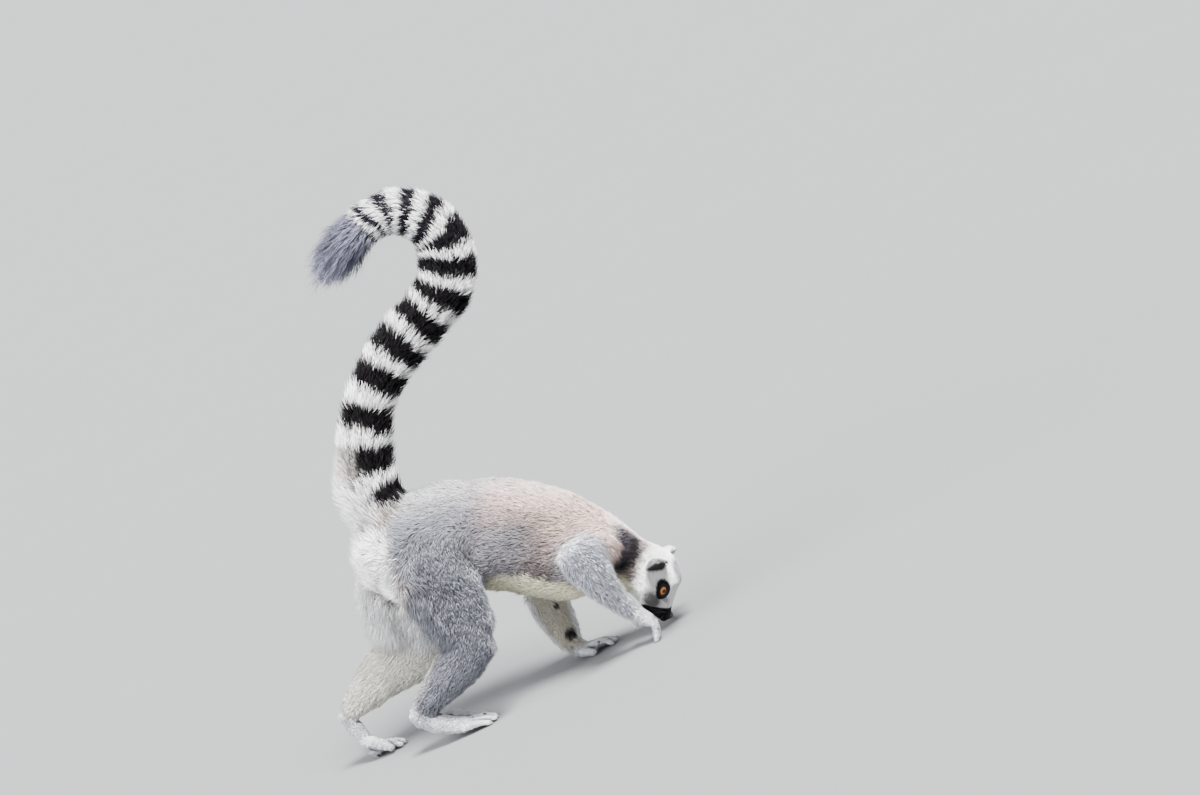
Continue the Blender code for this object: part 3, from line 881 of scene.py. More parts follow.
def neck_colour(colour, at, arm):
    """Pale neck with a cream throat and a leaning oval patch that is blackest at its lower end."""
    colour = blend(colour, NECK, at["neck"] * ease(-0.2, 0.5, at["up"]))
    colour = blend(colour, CREAM, at["neck"] * ease(0.1, 0.6, -at["up"]))
    nape = (at["place"] - NAPE_PLACE)[:, [0, 2]]
    tall = unit((0.18, 1.0))
    patch = np.hypot(nape @ tall / NAPE_SIZE[0], nape @ np.array((tall[1], -tall[0])) / NAPE_SIZE[1])
    dark = 1 - ease(0.55, 1.15, patch + at["fine"] * 1.5)
    dark = dark * ease(0.1, 0.5, -at["inner"]) * (1 - arm)
    deep = ease(-0.6, 0.6, (nape @ -tall + nape[:, 0] * 0.4) / 0.02)
    grey = NAPE + (BLACK * 1.6 - NAPE) * deep[:, None]
    return blend(colour, grey, dark)


def scent_spots(colour, at):
    """Bare dark scent spots on the inner side of each forearm: one by the wrist, one near the elbow."""
    for side in "rl":
        elbow = meeting(f"forearm_{side}", f"upper_arm_{side}")
        wrist = meeting(f"hand_{side}", f"forearm_{side}")
        line = unit(wrist - elbow)
        for share, size in SCENT_SPOTS:
            away = at["place"] - (elbow + (wrist - elbow) * share)
            across = np.abs(away @ unit(np.cross(line, (0.0, 1.0, 0.0))))
            spot = 1 - ease(0.7, 1.1, np.hypot(away @ line / (size * 1.5), across / size))
            near = np.linalg.norm(away, axis=1) < 0.03
            colour = blend(colour, LEATHER, spot * near * ease(0.2, 0.5, at["inner"]))
    return colour


# %% [markdown]
# ## The face
# The white face carries two black eye patches, a black muzzle whose corner runs back as the mouth, grey
# cheeks and a grey crown. Each is an oval or a rounded line measured from the eye or the tip of the
# nose, so both sides match and the far side needs no work of its own.

# %% Face colours
MOUTH_CORNER = np.array((-0.0195, 0.0105, 0.0280))    # from the nose tip, for the left side
CROWN_PLACE = np.array((0.2242, 0.0, 0.0570))
CROWN_SIZE = np.array((0.018, 0.020, 0.016))
EYE_PATCH = (0.0128, 0.0100)


def eye_and_cheek(colour, at, side, sign):
    """Grey oval below and behind the eye, black patch round it, and a dark tear towards the muzzle."""
    away = at["place"] - EYES[side]
    near = at["head"] * (away[:, 1] * sign > -0.02)
    length, height = away @ snout, away @ head_top
    grey = np.hypot((length - 0.009) / 0.014, (height + 0.013) / 0.0105)
    colour = blend(colour, CHEEK, near * (1 - ease(0.5, 1.2, grey + at["fine"])) * 0.95)
    patch = eye_reach(at["place"], side, *EYE_PATCH)
    colour = blend(colour, BLACK, near * (1 - ease(0.88, 1.06, patch + at["fine"] * 0.5)))
    tear = np.hypot((length - 0.014) / 0.009, height / 0.0035)
    return blend(colour, BLACK, near * (1 - ease(0.6, 1.2, tear + at["fine"])) * 0.6)


def muzzle(colour, at, sign):
    """Black within a reach of the line from nose to mouth corner, which narrows towards the corner."""
    line = MOUTH_CORNER * (1, sign, 1)
    away = at["place"] - nose_tip
    length, height = away @ snout, away @ head_top
    run, rise = line @ snout, line @ head_top
    share = np.clip((length * run + height * rise) / (run ** 2 + rise ** 2), 0, 1)
    gap = np.hypot(length - share * run, height - share * rise)
    reach = 0.0130 - 0.0098 * share ** 0.6
    return blend(colour, BLACK, at["head"] * (1 - ease(0.85, 1.12, gap / reach + at["fine"] * 0.5)))


def ear_colour(colour, at, side):
    """Black in the opening of the ear at its base, painted shade of its hollow, and a grey back towards its
    tip.
    """
    base = (at["place"] - EARS[side]) @ unit(EAR_TIPS[side] - EARS[side])
    front = at["normal"] @ snout
    # painted shade: the ear's hollow at its base, on the side that faces the snout, is laid on nearly black
    opening = at["ear"] * ease(0.15, 0.55, front) * (1 - ease(0.007, 0.011, base))
    colour = blend(colour, BLACK * 2, opening * 0.92)
    rim = at["ear"] * ease(0.006, 0.010, base) * (1 - ease(0.2, 0.5, front))
    return blend(colour, EAR_RIM, rim * 0.7)


def head_colour(colour, at):
    """White head with the marks of both sides and a grey crown."""
    colour = blend(colour, WHITE, at["head"])
    for side, sign in (("r", -1), ("l", 1)):
        colour = eye_and_cheek(colour, at, side, sign)
        colour = muzzle(colour, at, sign)
        colour = ear_colour(colour, at, side)
    crown = np.linalg.norm((at["place"] - CROWN_PLACE) / CROWN_SIZE, axis=1)
    return blend(colour, CROWN, at["head"] * (1 - ease(0.6, 1.1, crown + at["fine"])) * 0.9)


# %% [markdown]
# ## All markings together
# One function lays the parts over each other in order, from the trunk outwards to head, paws and tail.
# At the end single locks are darkened by chance, and clumps part a little, as a real coat is never of
# one even tone. Painted shade darkens the paws in the hollows between the digits.

# %% Markings of the whole body
def markings(place_, normal_, field, jitter, grain):
    """Colour at points of the skin: places, normals, part weights, jitter in metres and grain 0 to 1."""
    at = dict(field, place=place_, normal=normal_, jitter=jitter, grain=grain)
    at["up"] = normal_ @ dorsal
    at["side"] = np.sign(place_[:, 1] - skull[1])
    at["inner"] = -normal_[:, 1] * at["side"]
    at["fine"] = jitter * 12 + field["patch"] * 0.05
    at["leg"] = np.clip(field["thigh"] + field["shank"], 0, 1)
    colour, belly = trunk_colour(at)
    pale = rear_share(at)
    colour = leg_colour(colour, at, pale)
    colour, arm = arm_colour(colour, at)
    colour = neck_colour(colour, at, arm)
    colour = head_colour(colour, at)
    colour = blend(colour, PAW, field["paw"])
    colour = blend(colour, LEATHER, field["paw"] * ease(0.75, 0.92, -normal_[:, 2]))
    colour = scent_spots(colour, at)
    ringed = ring_colour(field["run"], field["under"], jitter)
    root = ease(0.002, 0.010, field["run"]) * (1 - ease(0.026, 0.034, field["run"] + jitter))
    root = root * ease(-0.5, 0.1, -field["under"]) * (grain < 0.65)
    colour = blend(colour, blend(ringed, ROOT, root * 0.8), field["tail"])
    coat = 1 - np.clip(field["head"] + field["tail"] + field["paw"] + field["arm"], 0, 1)
    grey = coat * (1 - pale) * (1 - belly)
    colour = colour * (1 - 0.42 * (grain < 0.16) * grey)[:, None]
    parting = 0.20 * ease(0.4, 1.8, field["clump"]) * grey
    # painted shade: the paws are darkened by up to 80 percent in the hollows between the digits
    colour = colour * (1 - parting - 0.80 * field["hollow"] * field["paw"])[:, None]
    tone = 1 + 0.05 * field["tone"] * (1 - field["head"]) * (1 - field["tail"])
    return colour * tone[:, None]


# %% [markdown]
# ## The skin piece
# The skin gets its markings as a colour at each point, a fine grain and pores. It also gets a flat map
# of its own shape, which the coat shares: every lock later takes a tiny patch of this map at its root.

# %% Helpers that every piece uses
def add_colour(piece, name, colour):
    """Store a colour at each point of a piece."""
    attribute = piece.data.attributes.new(name, "FLOAT_COLOR", "POINT")
    stored = np.ones((len(colour), 4), np.float32)
    stored[:, :3] = colour
    attribute.data.foreach_set("color", stored.ravel())


def add_number(piece, name, values):
    """Store a number at each point of a piece."""
    attribute = piece.data.attributes.new(name, "FLOAT", "POINT")
    attribute.data.foreach_set("value", np.asarray(values, np.float32))


def finish_piece(piece, material, replaced=()):
    """Give a piece its material, its body and the CAD nodes that it stands for."""
    piece.data.materials.append(material)
    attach(piece, "root")
    if replaced:
        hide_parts(*replaced)


# %% The skin piece and its unwrap
def skin_shader():
    """Hide under the hair: the markings' colour, darker in the pits, with fine pores."""
    shader = Shader("hide", Roughness=0.7, Specular_IOR_Level=0.25)
    tint = shader.attribute("tint").out("Color")
    tone = shader.noise(240.0, 3.0) * 0.30 + 0.72
    shader.feed("Base Color", shader.scaled(tint, tone))
    shader.feed("Normal", shader.bump(shader.noise(900.0, 2.0), 0.35, 0.0006))
    return shader.material


def unwrap(piece):
    """Unwrap a piece into flat islands of its own shape, in the map that is kept for baking."""
    piece.data.uv_layers.new(name="OFBake")
    bpy.context.view_layer.objects.active = piece
    piece.select_set(True)
    bpy.ops.object.mode_set(mode="EDIT")
    bpy.ops.mesh.select_all(action="SELECT")
    bpy.ops.uv.smart_project(angle_limit=math.radians(70), island_margin=0.003)
    bpy.ops.object.mode_set(mode="OBJECT")
    piece.select_set(False)
    found = np.empty(len(piece.data.loops) * 2)
    piece.data.uv_layers["OFBake"].data.foreach_get("uv", found)
    return found.reshape(-1, 3, 2)


skin_piece = build("skin", skin, faces)
skin_tint = markings(skin, normal, weights, np.zeros(len(skin)), np.full(len(skin), 0.5))
add_colour(skin_piece, "tint", skin_tint)
skin_map = unwrap(skin_piece)
flesh = [name for name in names if not name.startswith(("eye", "nose"))]
finish_piece(skin_piece, skin_shader(), flesh)
map_corners = skin_map.reshape(-1, 2)
print("skin map spans", map_corners.min(axis=0).round(2), map_corners.max(axis=0).round(2))

# %% [markdown]
# ## Where locks grow
# Real fur has far too many hairs to model. One solid lock stands for many of them, and its root is a
# random place on a triangle of the skin. Triangles are picked by their area times the growth of their
# part, and a triangle's share of the count is rounded up or down by chance.

# %% Scatter roots over the skin
loose_corners = [skin[faces[:, k]] for k in range(3)]
face_area = np.linalg.norm(np.cross(loose_corners[1] - loose_corners[0],
                                    loose_corners[2] - loose_corners[0]), axis=1) / 2
print("skin area:", round(float(face_area.sum()), 4), "square metres")


def scatter(face_weight, count):
    """Pick faces in proportion to weight times area, with three random shares for a place in each."""
    load = face_weight * face_area
    expected = load / load.sum() * count
    number = np.floor(expected + dice.random(len(expected))).astype(int)
    face = np.repeat(np.arange(len(faces)), number)
    shares = dice.dirichlet((1, 1, 1), len(face))
    return face, shares


def on_face(values, face, shares):
    """Value inside a triangle: its corners' values by their shares."""
    found = values[faces[face]]
    shares = shares if values.ndim == 1 else shares[:, :, None]
    return (found * shares).sum(axis=1)


# %% [markdown]
# ## The shape of a lock
# A lock of hair is a thin spindle: a point in the skin, a ring or two where it is widest, and a tip.
# That is six triangles for short hair and twelve for the long hair of the tail, so that a hundred
# thousand locks can be a few joined meshes. A lock leaves the skin steeply and bends over.

# %% Lock makers
RING_TURNS = np.array([0, 2 * math.pi / 3, 4 * math.pi / 3])
PATCH = 0.003                       # side of a lock's patch in the baking map
# the triangles of a lock, its points' places in its patch, and how far up the lock each point lies
SHORT = (np.array([(0, 2, 1), (0, 3, 2), (0, 1, 3), (4, 1, 2), (4, 2, 3), (4, 3, 1)]),
         np.array([(0, -0.5), (-0.5, 0), (0, 0.12), (0.5, 0), (0, 0.5)]),
         np.array([0, 0.45, 0.45, 0.45, 1.0]))
LONG = (np.array([(0, 2, 1), (0, 3, 2), (0, 1, 3), (1, 2, 5), (1, 5, 4), (2, 3, 6), (2, 6, 5),
                  (3, 1, 4), (3, 4, 6), (7, 4, 5), (7, 5, 6), (7, 6, 4)]),
        np.array([(0, -0.5), (-0.5, -0.2), (0, -0.1), (0.5, -0.2),
                  (-0.45, 0.15), (0, 0.25), (0.45, 0.15), (0, 0.5)]),
        np.array([0, 0.33, 0.33, 0.33, 0.68, 0.68, 0.68, 1.0]))
FLATNESS = 0.6
ROOT_DEPTH = 0.0004


def ring(centre, heading, outward_, width):
    """Three points round a lock: width times the cosine sideways, and flatter along the outward side."""
    sideways = unit(np.cross(heading, outward_))
    lift = np.cross(sideways, heading)
    return np.stack([centre + sideways * (width * math.cos(turn))[:, None]
                     + lift * (width * FLATNESS * math.sin(turn))[:, None] for turn in RING_TURNS], axis=1)


def lock_points(root, outward_, lie, length, width, lift, long):
    """Points of spindles that leave the skin steeply and bend over to the lie of the coat."""
    def heading(angle):
        return unit(lie * np.cos(angle)[:, None] + outward_ * np.sin(angle)[:, None])

    first, second, third = heading(lift * 1.5), heading(lift), heading(lift * 0.55)
    step = length[:, None]
    base = root - outward_ * ROOT_DEPTH
    if long:
        low = base + first * step * 0.33
        high = low + second * step * 0.35
        tip = high + third * step * 0.32
        rings = [ring(low, first, outward_, width), ring(high, second, outward_, width * 0.7)]
    else:
        low = base + first * step * 0.45
        tip = low + third * step * 0.55
        rings = [ring(low, first, outward_, width)]
    return np.concatenate([base[:, None], *rings, tip[:, None]], axis=1)


def lock_piece(name, points, kind, centres, patch_size):
    """One mesh of many locks, each with a patch of the baking map round its own centre."""
    lock_faces, lock_map, rise = kind
    size = len(rise)
    all_faces = (lock_faces[None] + (np.arange(len(points)) * size)[:, None, None]).reshape(-1, 3)
    piece = build(name, points.reshape(-1, 3), all_faces)
    patch = np.clip(centres[:, None] + lock_map[None] * patch_size, 0, 1)
    layer = piece.data.uv_layers.new(name="OFBake")
    layer.data.foreach_set("uv", patch.reshape(-1, 2)[all_faces.ravel()].ravel().astype(np.float32))
    return piece


# %% [markdown]
# ## How the hair differs from part to part
# Each part has its own length, width, steepness and density of hair. They are softened over the skin,
# so that long fur runs into short fur without a step.

# %% Hair table
# length mm, half width mm, lift degrees, growth weight and colour spread for each part
HAIR = {
    "trunk": (14, 0.55, 24, 1.15, 0.08), "neck": (14, 0.55, 26, 1.3, 0.08),
    "head": (8.0, 0.45, 24, 2.2, 0.04), "nose": (1.5, 0.3, 20, 1.0, 0.03),
    "eye": (2.0, 0.28, 14, 3.5, 0.03), "ear": (8.0, 0.38, 28, 4.2, 0.05),
    "thigh": (13, 0.52, 25, 1.2, 0.09), "shank": (11, 0.5, 24, 1.3, 0.09),
    "foot": (6.0, 0.42, 22, 2.4, 0.06), "upper_arm": (12, 0.5, 24, 1.4, 0.06),
    "forearm": (10, 0.48, 23, 1.7, 0.06), "hand": (4.5, 0.36, 20, 2.8, 0.06),
    "tail": (22, 0.62, 40, 1.0, 0.04),
}
STRAY = {"trunk": 0.24, "neck": 0.22, "thigh": 0.22, "shank": 0.2, "upper_arm": 0.18,
         "forearm": 0.15, "head": 0.12, "tail": 0.12}


def hair_field(column, rounds=30):
    table = {name: row[column] for name, row in HAIR.items()}
    return by_part(table, rounds)


hair_length = hair_field(0) * 0.001
hair_width = hair_field(1) * 0.001
hair_lift = np.radians(hair_field(2)) * (1 + 0.15 * smooth_noise(20)[:, 0])
hair_growth = hair_field(3, 4)
hair_spread = hair_field(4)
stray = by_part(STRAY, 20, 0.08)
print("hair length:", (hair_length.min() * 1000).round(1), "to", (hair_length.max() * 1000).round(1), "mm")

# %% [markdown]
# ## Fringes and the brush of the tail
# Long white hair hangs from the back of the thighs, the root of the tail and the edges of the arms. The
# tail's hair is longest in the brush at its tip and shorter and denser round the hook above.

# %% Long hair
fringe = weights["thigh"] * ease(0.15, 0.7, -normal[:, 0])
fringe = fringe + weights["trunk"] * ease(0.5, 0.9, -normal @ spine)
far_leg = ease(0.0, 0.02, skin[:, 1]) * weights["thigh"] * 0.35
fringe = np.clip((fringe + far_leg) * ease(0.09, 0.14, skin[:, 2]), 0, 1)
tail_base = weights["tail"] * (1 - ease(0.04, 0.09, weights["run"])) * ease(-0.2, 0.6, weights["under"])
fringe = np.maximum(fringe, tail_base * 0.35)
arm_fringe = weights["arm"] * ease(0.55, 0.9, np.abs(normal[:, 0]))
brush = weights["tail"] * ease(0.48, 0.54, weights["run"])
hook = weights["tail"] * ease(0.24, 0.38, weights["run"]) * (1 - brush)
hair_length = hair_length * (1 + 1.5 * fringe + 0.35 * arm_fringe)
hair_lift = hair_lift * (1 + 0.75 * fringe + 0.3 * arm_fringe)
hair_length = hair_length * (1 + 0.45 * brush - 0.32 * hook)
hair_lift = hair_lift * (1 + 0.15 * hook)
hair_width = hair_width * (1 - 0.25 * brush)
hair_growth = hair_growth * (1 + 0.8 * brush + 0.3 * hook)
print("longest hair:", (hair_length.max() * 1000).round(1), "mm")

# %% [markdown]
# ## Short hair
# The muzzle, the fingers and the toes have short dense hair, and the soles, the eyeballs, the bowls of
# the ears and the nose pad have none.

# %% Short and bare places
face_short = 0.30 + 0.70 * ease(0.030, 0.066, near_nose)
short = weights["head"] * (1 - weights["ear"]) * (1 - face_short)
hair_length = hair_length * (1 - short)
hair_width = hair_width * (1 - 0.45 * short)
hair_growth = hair_growth * (1 + 2.0 * short)
digit = np.zeros(len(skin))
for name, line in limb_lines.items():
    if name.startswith(("hand", "foot")):
        reach = (skin - middle(name)) @ unit(line)
        digit += by_part({name: 1}) * ease(0.008, 0.024, reach)
hair_length = hair_length * (1 - 0.5 * digit)
hair_width = hair_width * (1 - 0.35 * digit)
hair_growth = hair_growth * (1 + 0.8 * digit)
sole = weights["paw"] * ease(0.4, 0.8, -normal[:, 2])
hair_growth = hair_growth * (1 - 0.97 * sole)
for side in "rl":
    hair_growth = hair_growth * ease(1.25, 1.5, eye_reach(skin, side, *EYE_OPENING))
    bowl = weights["ear"] * ease(0.2, 0.5, normal @ snout)
    hair_growth = hair_growth * (1 - 0.8 * bowl)
hair_growth = hair_growth * ease(0.0075, 0.0095, near_nose)
print("bare share of the skin:", round(float((hair_growth < 0.05).mean()), 3))

# %% [markdown]
# ## Growing the coat
# A coat piece is all the locks of one part, joined. Each lock takes its length, lean and colour from
# the skin at its root, with a little chance in all of them, so that no two are alike. Along the tail a
# lock takes the ring's colour half-way up its own length, where it is seen.

# %% Hair material
def coat_shader():
    """Hair: the lock's own colour with painted shade that deepens it towards the skin, soft and hardly
    shiny.
    """
    shader = Shader("hair", Roughness=0.75, Specular_IOR_Level=0.12)
    tint = shader.attribute("tint").out("Color")
    rise = shader.attribute("rise").out("Fac")
    streak = shader.noise(420.0, 1.0) * 0.12 + 0.94
    # painted shade: each lock is darker towards its root, where the coat around it shades it
    shader.feed("Base Color", shader.scaled(tint, (rise * 0.18 + 0.86) * streak))
    return shader.material


HAIR_MATERIAL = coat_shader()
BRIGHTEST = 0.94
print("material:", HAIR_MATERIAL.name)


# %% Grow a coat piece
def grow(name, region, count, long=False):
    """One joined piece of locks over the faces where region is above nought."""
    face, shares = scatter((region * hair_growth)[faces].mean(axis=1), count)

    def here(values):
        return on_face(values, face, shares)

    many = len(face)
    root, outward_ = here(skin), unit(here(normal))
    lie = unit(here(flow) + dice.normal(0, 1, root.shape) * here(stray)[:, None])
    lie = flattened(lie, outward_)
    length = here(hair_length) * (0.70 + 0.5 * dice.random(many))
    width = here(hair_width) * (0.75 + 0.5 * dice.random(many))
    lift = here(hair_lift) * (0.7 + 0.6 * dice.random(many))
    points = lock_points(root, outward_, lie, length, width, lift, long)
    field = {key: here(value) for key, value in weights.items()}
    field["run"] = field["run"] + length * 0.60 * np.clip(field["tail"], 0, 1)
    jitter = dice.normal(0, 1, many) * (0.0022 - 0.0008 * np.clip(field["tail"], 0, 1))
    tint = markings(root, outward_, field, jitter, dice.random(many))
    shade = np.exp(dice.normal(0, 1.6, many) * here(hair_spread))
    tint = np.clip(tint * shade[:, None], 0, BRIGHTEST)
    kind = LONG if long else SHORT
    centres = np.clip((skin_map[face] * shares[:, :, None]).sum(axis=1), PATCH, 1 - PATCH)
    piece = lock_piece(name, points, kind, centres, PATCH)
    add_colour(piece, "tint", np.repeat(tint, len(kind[2]), axis=0))
    add_number(piece, "rise", np.tile(kind[2], many))
    finish_piece(piece, HAIR_MATERIAL)
    print(name, many, "locks,", many * len(kind[0]), "triangles")


# %% Grow them all
def strict(*starts):
    """1 on the named parts and 0 elsewhere, with a hard edge, so that no lock grows twice."""
    return by_part({start: 1 for start in starts})


low_tail = strict("tail_1", "tail_2", "tail_3")
high_tail = strict("tail") - low_tail
trunk_middle = (tail_root + neck_base) / 2
front = ((skin - trunk_middle) @ spine > 0).astype(float)
grow("coat_trunk_back", strict("trunk") * (1 - front), 25000)
grow("coat_trunk_front", strict("trunk") * front, 24000)
grow("coat_neck", strict("neck"), 9000)
grow("coat_head", strict("head", "eye", "nose", "ear"), 28000)
grow("coat_thighs", strict("thigh"), 25000)
grow("coat_shanks_and_feet", strict("shank", "foot"), 26000)
grow("coat_arms", strict("upper_arm", "forearm", "hand"), 26000)
grow("coat_tail_low", low_tail, 13500, long=True)
grow("coat_tail_high", high_tail, 14500, long=True)

# %% [markdown]
# ## Eyes
# A lemur's eye is a bright orange disc with a black pupil in a black rim. The globe is a sphere with a
# slight bulge for the cornea, and its colours depend only on the angle from the line of sight, which is
# stored at every point.

# %% Round grids
def grid_faces(rows, columns):
    """Quads of a grid that closes on itself along its columns."""
    i, j = np.meshgrid(np.arange(rows - 1), np.arange(columns), indexing="ij")
    k = (j + 1) % columns
    return np.stack([i * columns + j, (i + 1) * columns + j, (i + 1) * columns + k, i * columns + k],
                    axis=-1).reshape(-1, 4)


def round_grid(rows, columns, edge=0.001, power=1.0):
    """Angle from the pole down the rows, denser near the pole as power grows, and turn along a row."""
    polar = edge + (math.pi - 2 * edge) * np.linspace(0, 1, rows) ** power
    return polar[:, None], np.linspace(0, 2 * math.pi, columns, endpoint=False)[None]


def basis(forward):
    """Three directions square to each other: sideways, upwards, and forward."""
    forward = unit(forward)
    sideways = unit(np.cross((0.0, 0.0, 1.0), forward))
    return sideways, np.cross(forward, sideways), forward


# %% Globe of an eye
EYE_RADIUS = 0.0088
EYE_GRID = (56, 56)
CORNEA_SWELL, CORNEA_SPREAD = 0.06, 0.5


def eye_ball(name, centre, gaze, radius):
    """Sphere whose radius swells by 6 percent of a bell curve round the line of sight."""
    polar, turn = round_grid(*EYE_GRID, power=1.7)
    reach = radius * (1 + CORNEA_SWELL * np.exp(-(polar / CORNEA_SPREAD) ** 2)) + 0 * turn
    sideways, upward, forward = basis(gaze)
    points = centre + (reach * np.cos(polar))[..., None] * forward \
        + (reach * np.sin(polar) * np.cos(turn))[..., None] * sideways \
        + (reach * np.sin(polar) * np.sin(turn))[..., None] * upward
    piece = build(name, points.reshape(-1, 3), grid_faces(*EYE_GRID)[:, ::-1])
    add_number(piece, "polar", np.broadcast_to(polar, EYE_GRID).ravel())
    return piece


def eye_shader():
    """Black pupil, orange iris with radial streaks and a dark rim, under a clear wet coat."""
    shader = Shader("eye_colours", Roughness=0.25, Coat_Weight=0.3, Coat_Roughness=0.03,
                    Specular_IOR_Level=0.2)
    angle = shader.attribute("polar").out("Fac")
    streak = shader.noise(900.0, 2.0)
    iris = shader.node("ShaderNodeValToRGB", {"stops": [
        (0.0, (0.001, 0.001, 0.001)), (0.25, (0.001, 0.001, 0.001)), (0.29, (0.20, 0.05, 0.008)),
        (0.42, (0.52, 0.17, 0.025)), (0.62, (0.44, 0.12, 0.018)), (0.72, (0.02, 0.008, 0.004)),
        (1.0, (0.01, 0.008, 0.008))]}, {"Fac": angle + (streak - 0.5) * 0.05}).out("Color")
    shader.feed("Base Color", shader.scaled(iris, streak * 0.7 + 0.65))
    return shader.material


EYE_MATERIAL = eye_shader()
for side in "rl":
    ball = eye_ball(f"eye_globe_{side}", EYES[side], GAZE[side], EYE_RADIUS)
    finish_piece(ball, EYE_MATERIAL, [f"eye_{side}"])
    print(ball.name, "has", len(ball.data.polygons), "faces")

# %% [markdown]
# ## Nose
# The nose is a small black leather pad with two comma-shaped nostrils. It could be cut with a boolean,
# but dips in the radius of an ellipsoid give the same shape with an even grid.

# %% Nose pad
NOSE_GRID = (36, 44)
NOSE_SIZE = np.array((0.0050, 0.0042, 0.0040))
NOSTRIL_DEPTH = 0.3


def nose_pad():
    """Ellipsoid whose radius dips in two comma-shaped nostrils at its front corners."""
    polar, turn = round_grid(*NOSE_GRID)
    sideways, upward, forward = basis(snout)
    x, y = np.sin(polar) * np.cos(turn), np.sin(polar) * np.sin(turn)
    hole = sum(np.exp(-((x - s * 0.45) / 0.16) ** 2 - ((y + 0.15 - 0.3 * np.abs(x)) / 0.12) ** 2)
               for s in (-1, 1)) * (polar < math.pi / 2)
    reach = 1 - NOSTRIL_DEPTH * hole
    points = nose_tip - snout * 0.0008 + (x * reach * NOSE_SIZE[0])[..., None] * sideways \
        + (y * reach * NOSE_SIZE[1])[..., None] * upward \
        + (np.cos(polar) * reach * NOSE_SIZE[2])[..., None] * forward
    return build("nose_pad", points.reshape(-1, 3), grid_faces(*NOSE_GRID)[:, ::-1])


def leather_shader():
    """Moist black leather with a fine pebble grain."""
    shader = Shader("nose_leather", Roughness=0.38, Coat_Weight=0.2)
    inputs = {"Vector": shader.place(), "Scale": 1500.0}
    grain = shader.node("ShaderNodeTexVoronoi", {}, inputs).out("Distance")
    shader.feed("Base Color", shader.mix(grain, (0.012, 0.010, 0.011, 1), (0.035, 0.03, 0.032, 1)))
    shader.feed("Normal", shader.bump(grain, 0.4, 0.0003))
    return shader.material


nose = nose_pad()
finish_piece(nose, leather_shader(), ["nose"])
print("nose pad sits", round(float(nose_tip[2]) * 1000, 1), "mm above the floor")

# %% [markdown]
# ## Whiskers
# Stiff whiskers stand out from the sides of the muzzle in rows, and a few more above the eyes. Each is
# one long thin tapering lock, so the lock maker of the coat makes them too.

# %% Whiskers
WHISKER_HALF_WIDTH = 0.00018
WHISKER_LIFT = math.radians(22)
WHISKER_PATCH = PATCH * 20


def whisker_roots():
    """Rows on both sides of the muzzle and over each eye: where each starts, its way and its length."""
    roots, ways, lengths = [], [], []
    for side in "rl":
        out = head_side * SIGN[side]
        for row in range(3):
            for column in range(4):
                back = snout * (0.006 + 0.0035 * column)
                roots.append(nose_tip - back + out * 0.0115 + head_top * (0.003 * row - 0.004))
                ways.append(out * 0.8 + head_top * (0.35 * row - 0.25) + snout * (0.35 - 0.25 * column))
                lengths.append(0.030 + 0.004 * column)
        for column in range(3):
            roots.append(EYES[side] + head_top * 0.011 - out * 0.002 + snout * 0.003 * column)
            ways.append(head_top * 0.9 + out * 0.5 - snout * 0.3 * (column - 1))
            lengths.append(0.026)
    return np.array(roots), unit(ways), np.array(lengths)


def whiskers():
    """Long spindles from the nearest points of the skin, laid flat in it and then lifted."""
    roots, ways, lengths = whisker_roots()
    many = len(roots)
    on_skin, _ = nearest(roots, skin)
    outward_ = unit(normal[on_skin])
    lie = flattened(ways, outward_)
    points = lock_points(skin[on_skin], outward_, lie, lengths, np.full(many, WHISKER_HALF_WIDTH),
                         np.full(many, WHISKER_LIFT), True)
    centres = 0.1 + 0.8 * np.stack([np.arange(many) % 6 / 5, np.arange(many) // 6 / 5], axis=1)
    piece = lock_piece("whiskers", points, LONG, centres, WHISKER_PATCH)
    shader = Shader("whisker", Roughness=0.45)
    shader.feed("Base Color", shader.mix(shader.noise(200.0), (0.02, 0.02, 0.02, 1), (0.08, 0.075, 0.07, 1)))
    finish_piece(piece, shader.material)
    print("whiskers:", many)


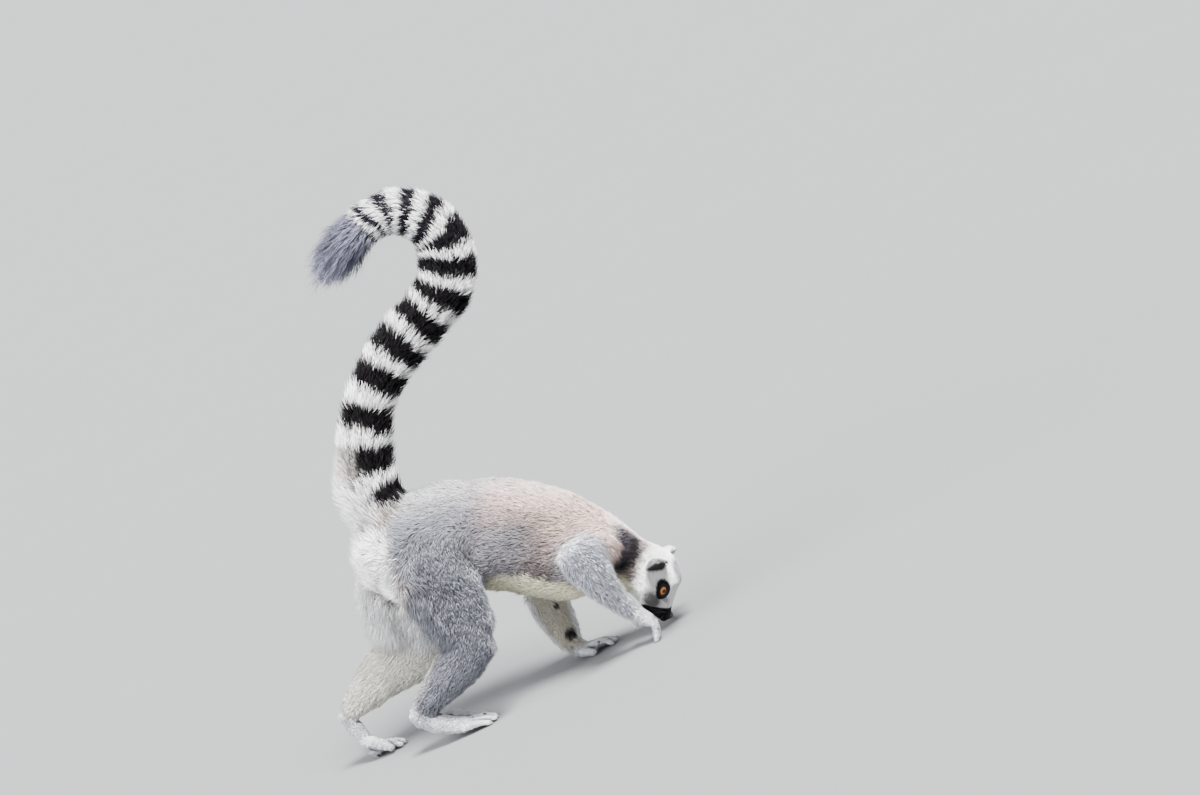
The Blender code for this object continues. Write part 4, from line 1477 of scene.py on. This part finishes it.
whiskers()

# %% [markdown]
# ## Nails
# The nails are small dark curved shields at the ends of the fingers and toes. On an ellipsoid that is
# flattened against the digit only the upper half shows, which is the shape of a nail.

# %% Nails
NAIL_GRID = (9, 12)
NAIL_SIZE = (0.0027, 0.0015, 0.0009)
DIGIT_GAP = 0.0085


def digit_tips(name, axis, wanted=5):
    """Ends of the digits: the points farthest along the paw, each well away from the ones before it."""
    here = np.flatnonzero(owner == names.index(name))
    score = skin[here] @ axis
    tips = []
    while len(tips) < wanted and len(here):
        best = here[score.argmax()]
        tips.append(best)
        reach = DIGIT_GAP * (1 + 0.9 * (len(tips) < wanted))
        keep = np.linalg.norm(skin[here] - skin[best], axis=1) > reach
        here, score = here[keep], score[keep]
    return np.array(tips)


def nail_shape():
    """Ellipsoid along the digit, narrower towards its end."""
    polar, turn = round_grid(*NAIL_GRID, edge=0.01)
    long, wide, thick = NAIL_SIZE
    taper = 1 - 0.35 * np.cos(polar)
    return np.stack([np.cos(polar) * long + 0 * turn, np.sin(polar) * np.cos(turn) * wide * taper,
                     np.sin(polar) * np.sin(turn) * thick * taper], axis=-1).reshape(-1, 3)


def nail_pieces():
    """Dark ellipsoids laid on the upper side of each digit's end, pointed along the digit."""
    shape, single = nail_shape(), grid_faces(*NAIL_GRID)
    points, cells = [], []
    for name, line in limb_lines.items():
        if not name.startswith(("hand", "foot")):
            continue
        axis = unit(line)
        up = unit(np.array((0.0, 0.0, 1.0)) - axis * axis[2])
        for tip in digit_tips(name, axis):
            centre = skin[tip] - axis * 0.0010 + up * 0.0012
            cells.append(single + len(points) * len(shape))
            points.append(centre + shape @ np.stack([axis, np.cross(up, axis), up]))
    piece = build("nails", np.vstack(points), np.vstack(cells))
    shader = Shader("horn", Roughness=0.35)
    grain = shader.noise(900.0, 2.0)
    shader.feed("Base Color", shader.mix(grain, (0.012, 0.011, 0.012, 1), (0.05, 0.045, 0.045, 1)))
    finish_piece(piece, shader.material)
    print("nails:", len(points))


nail_pieces()
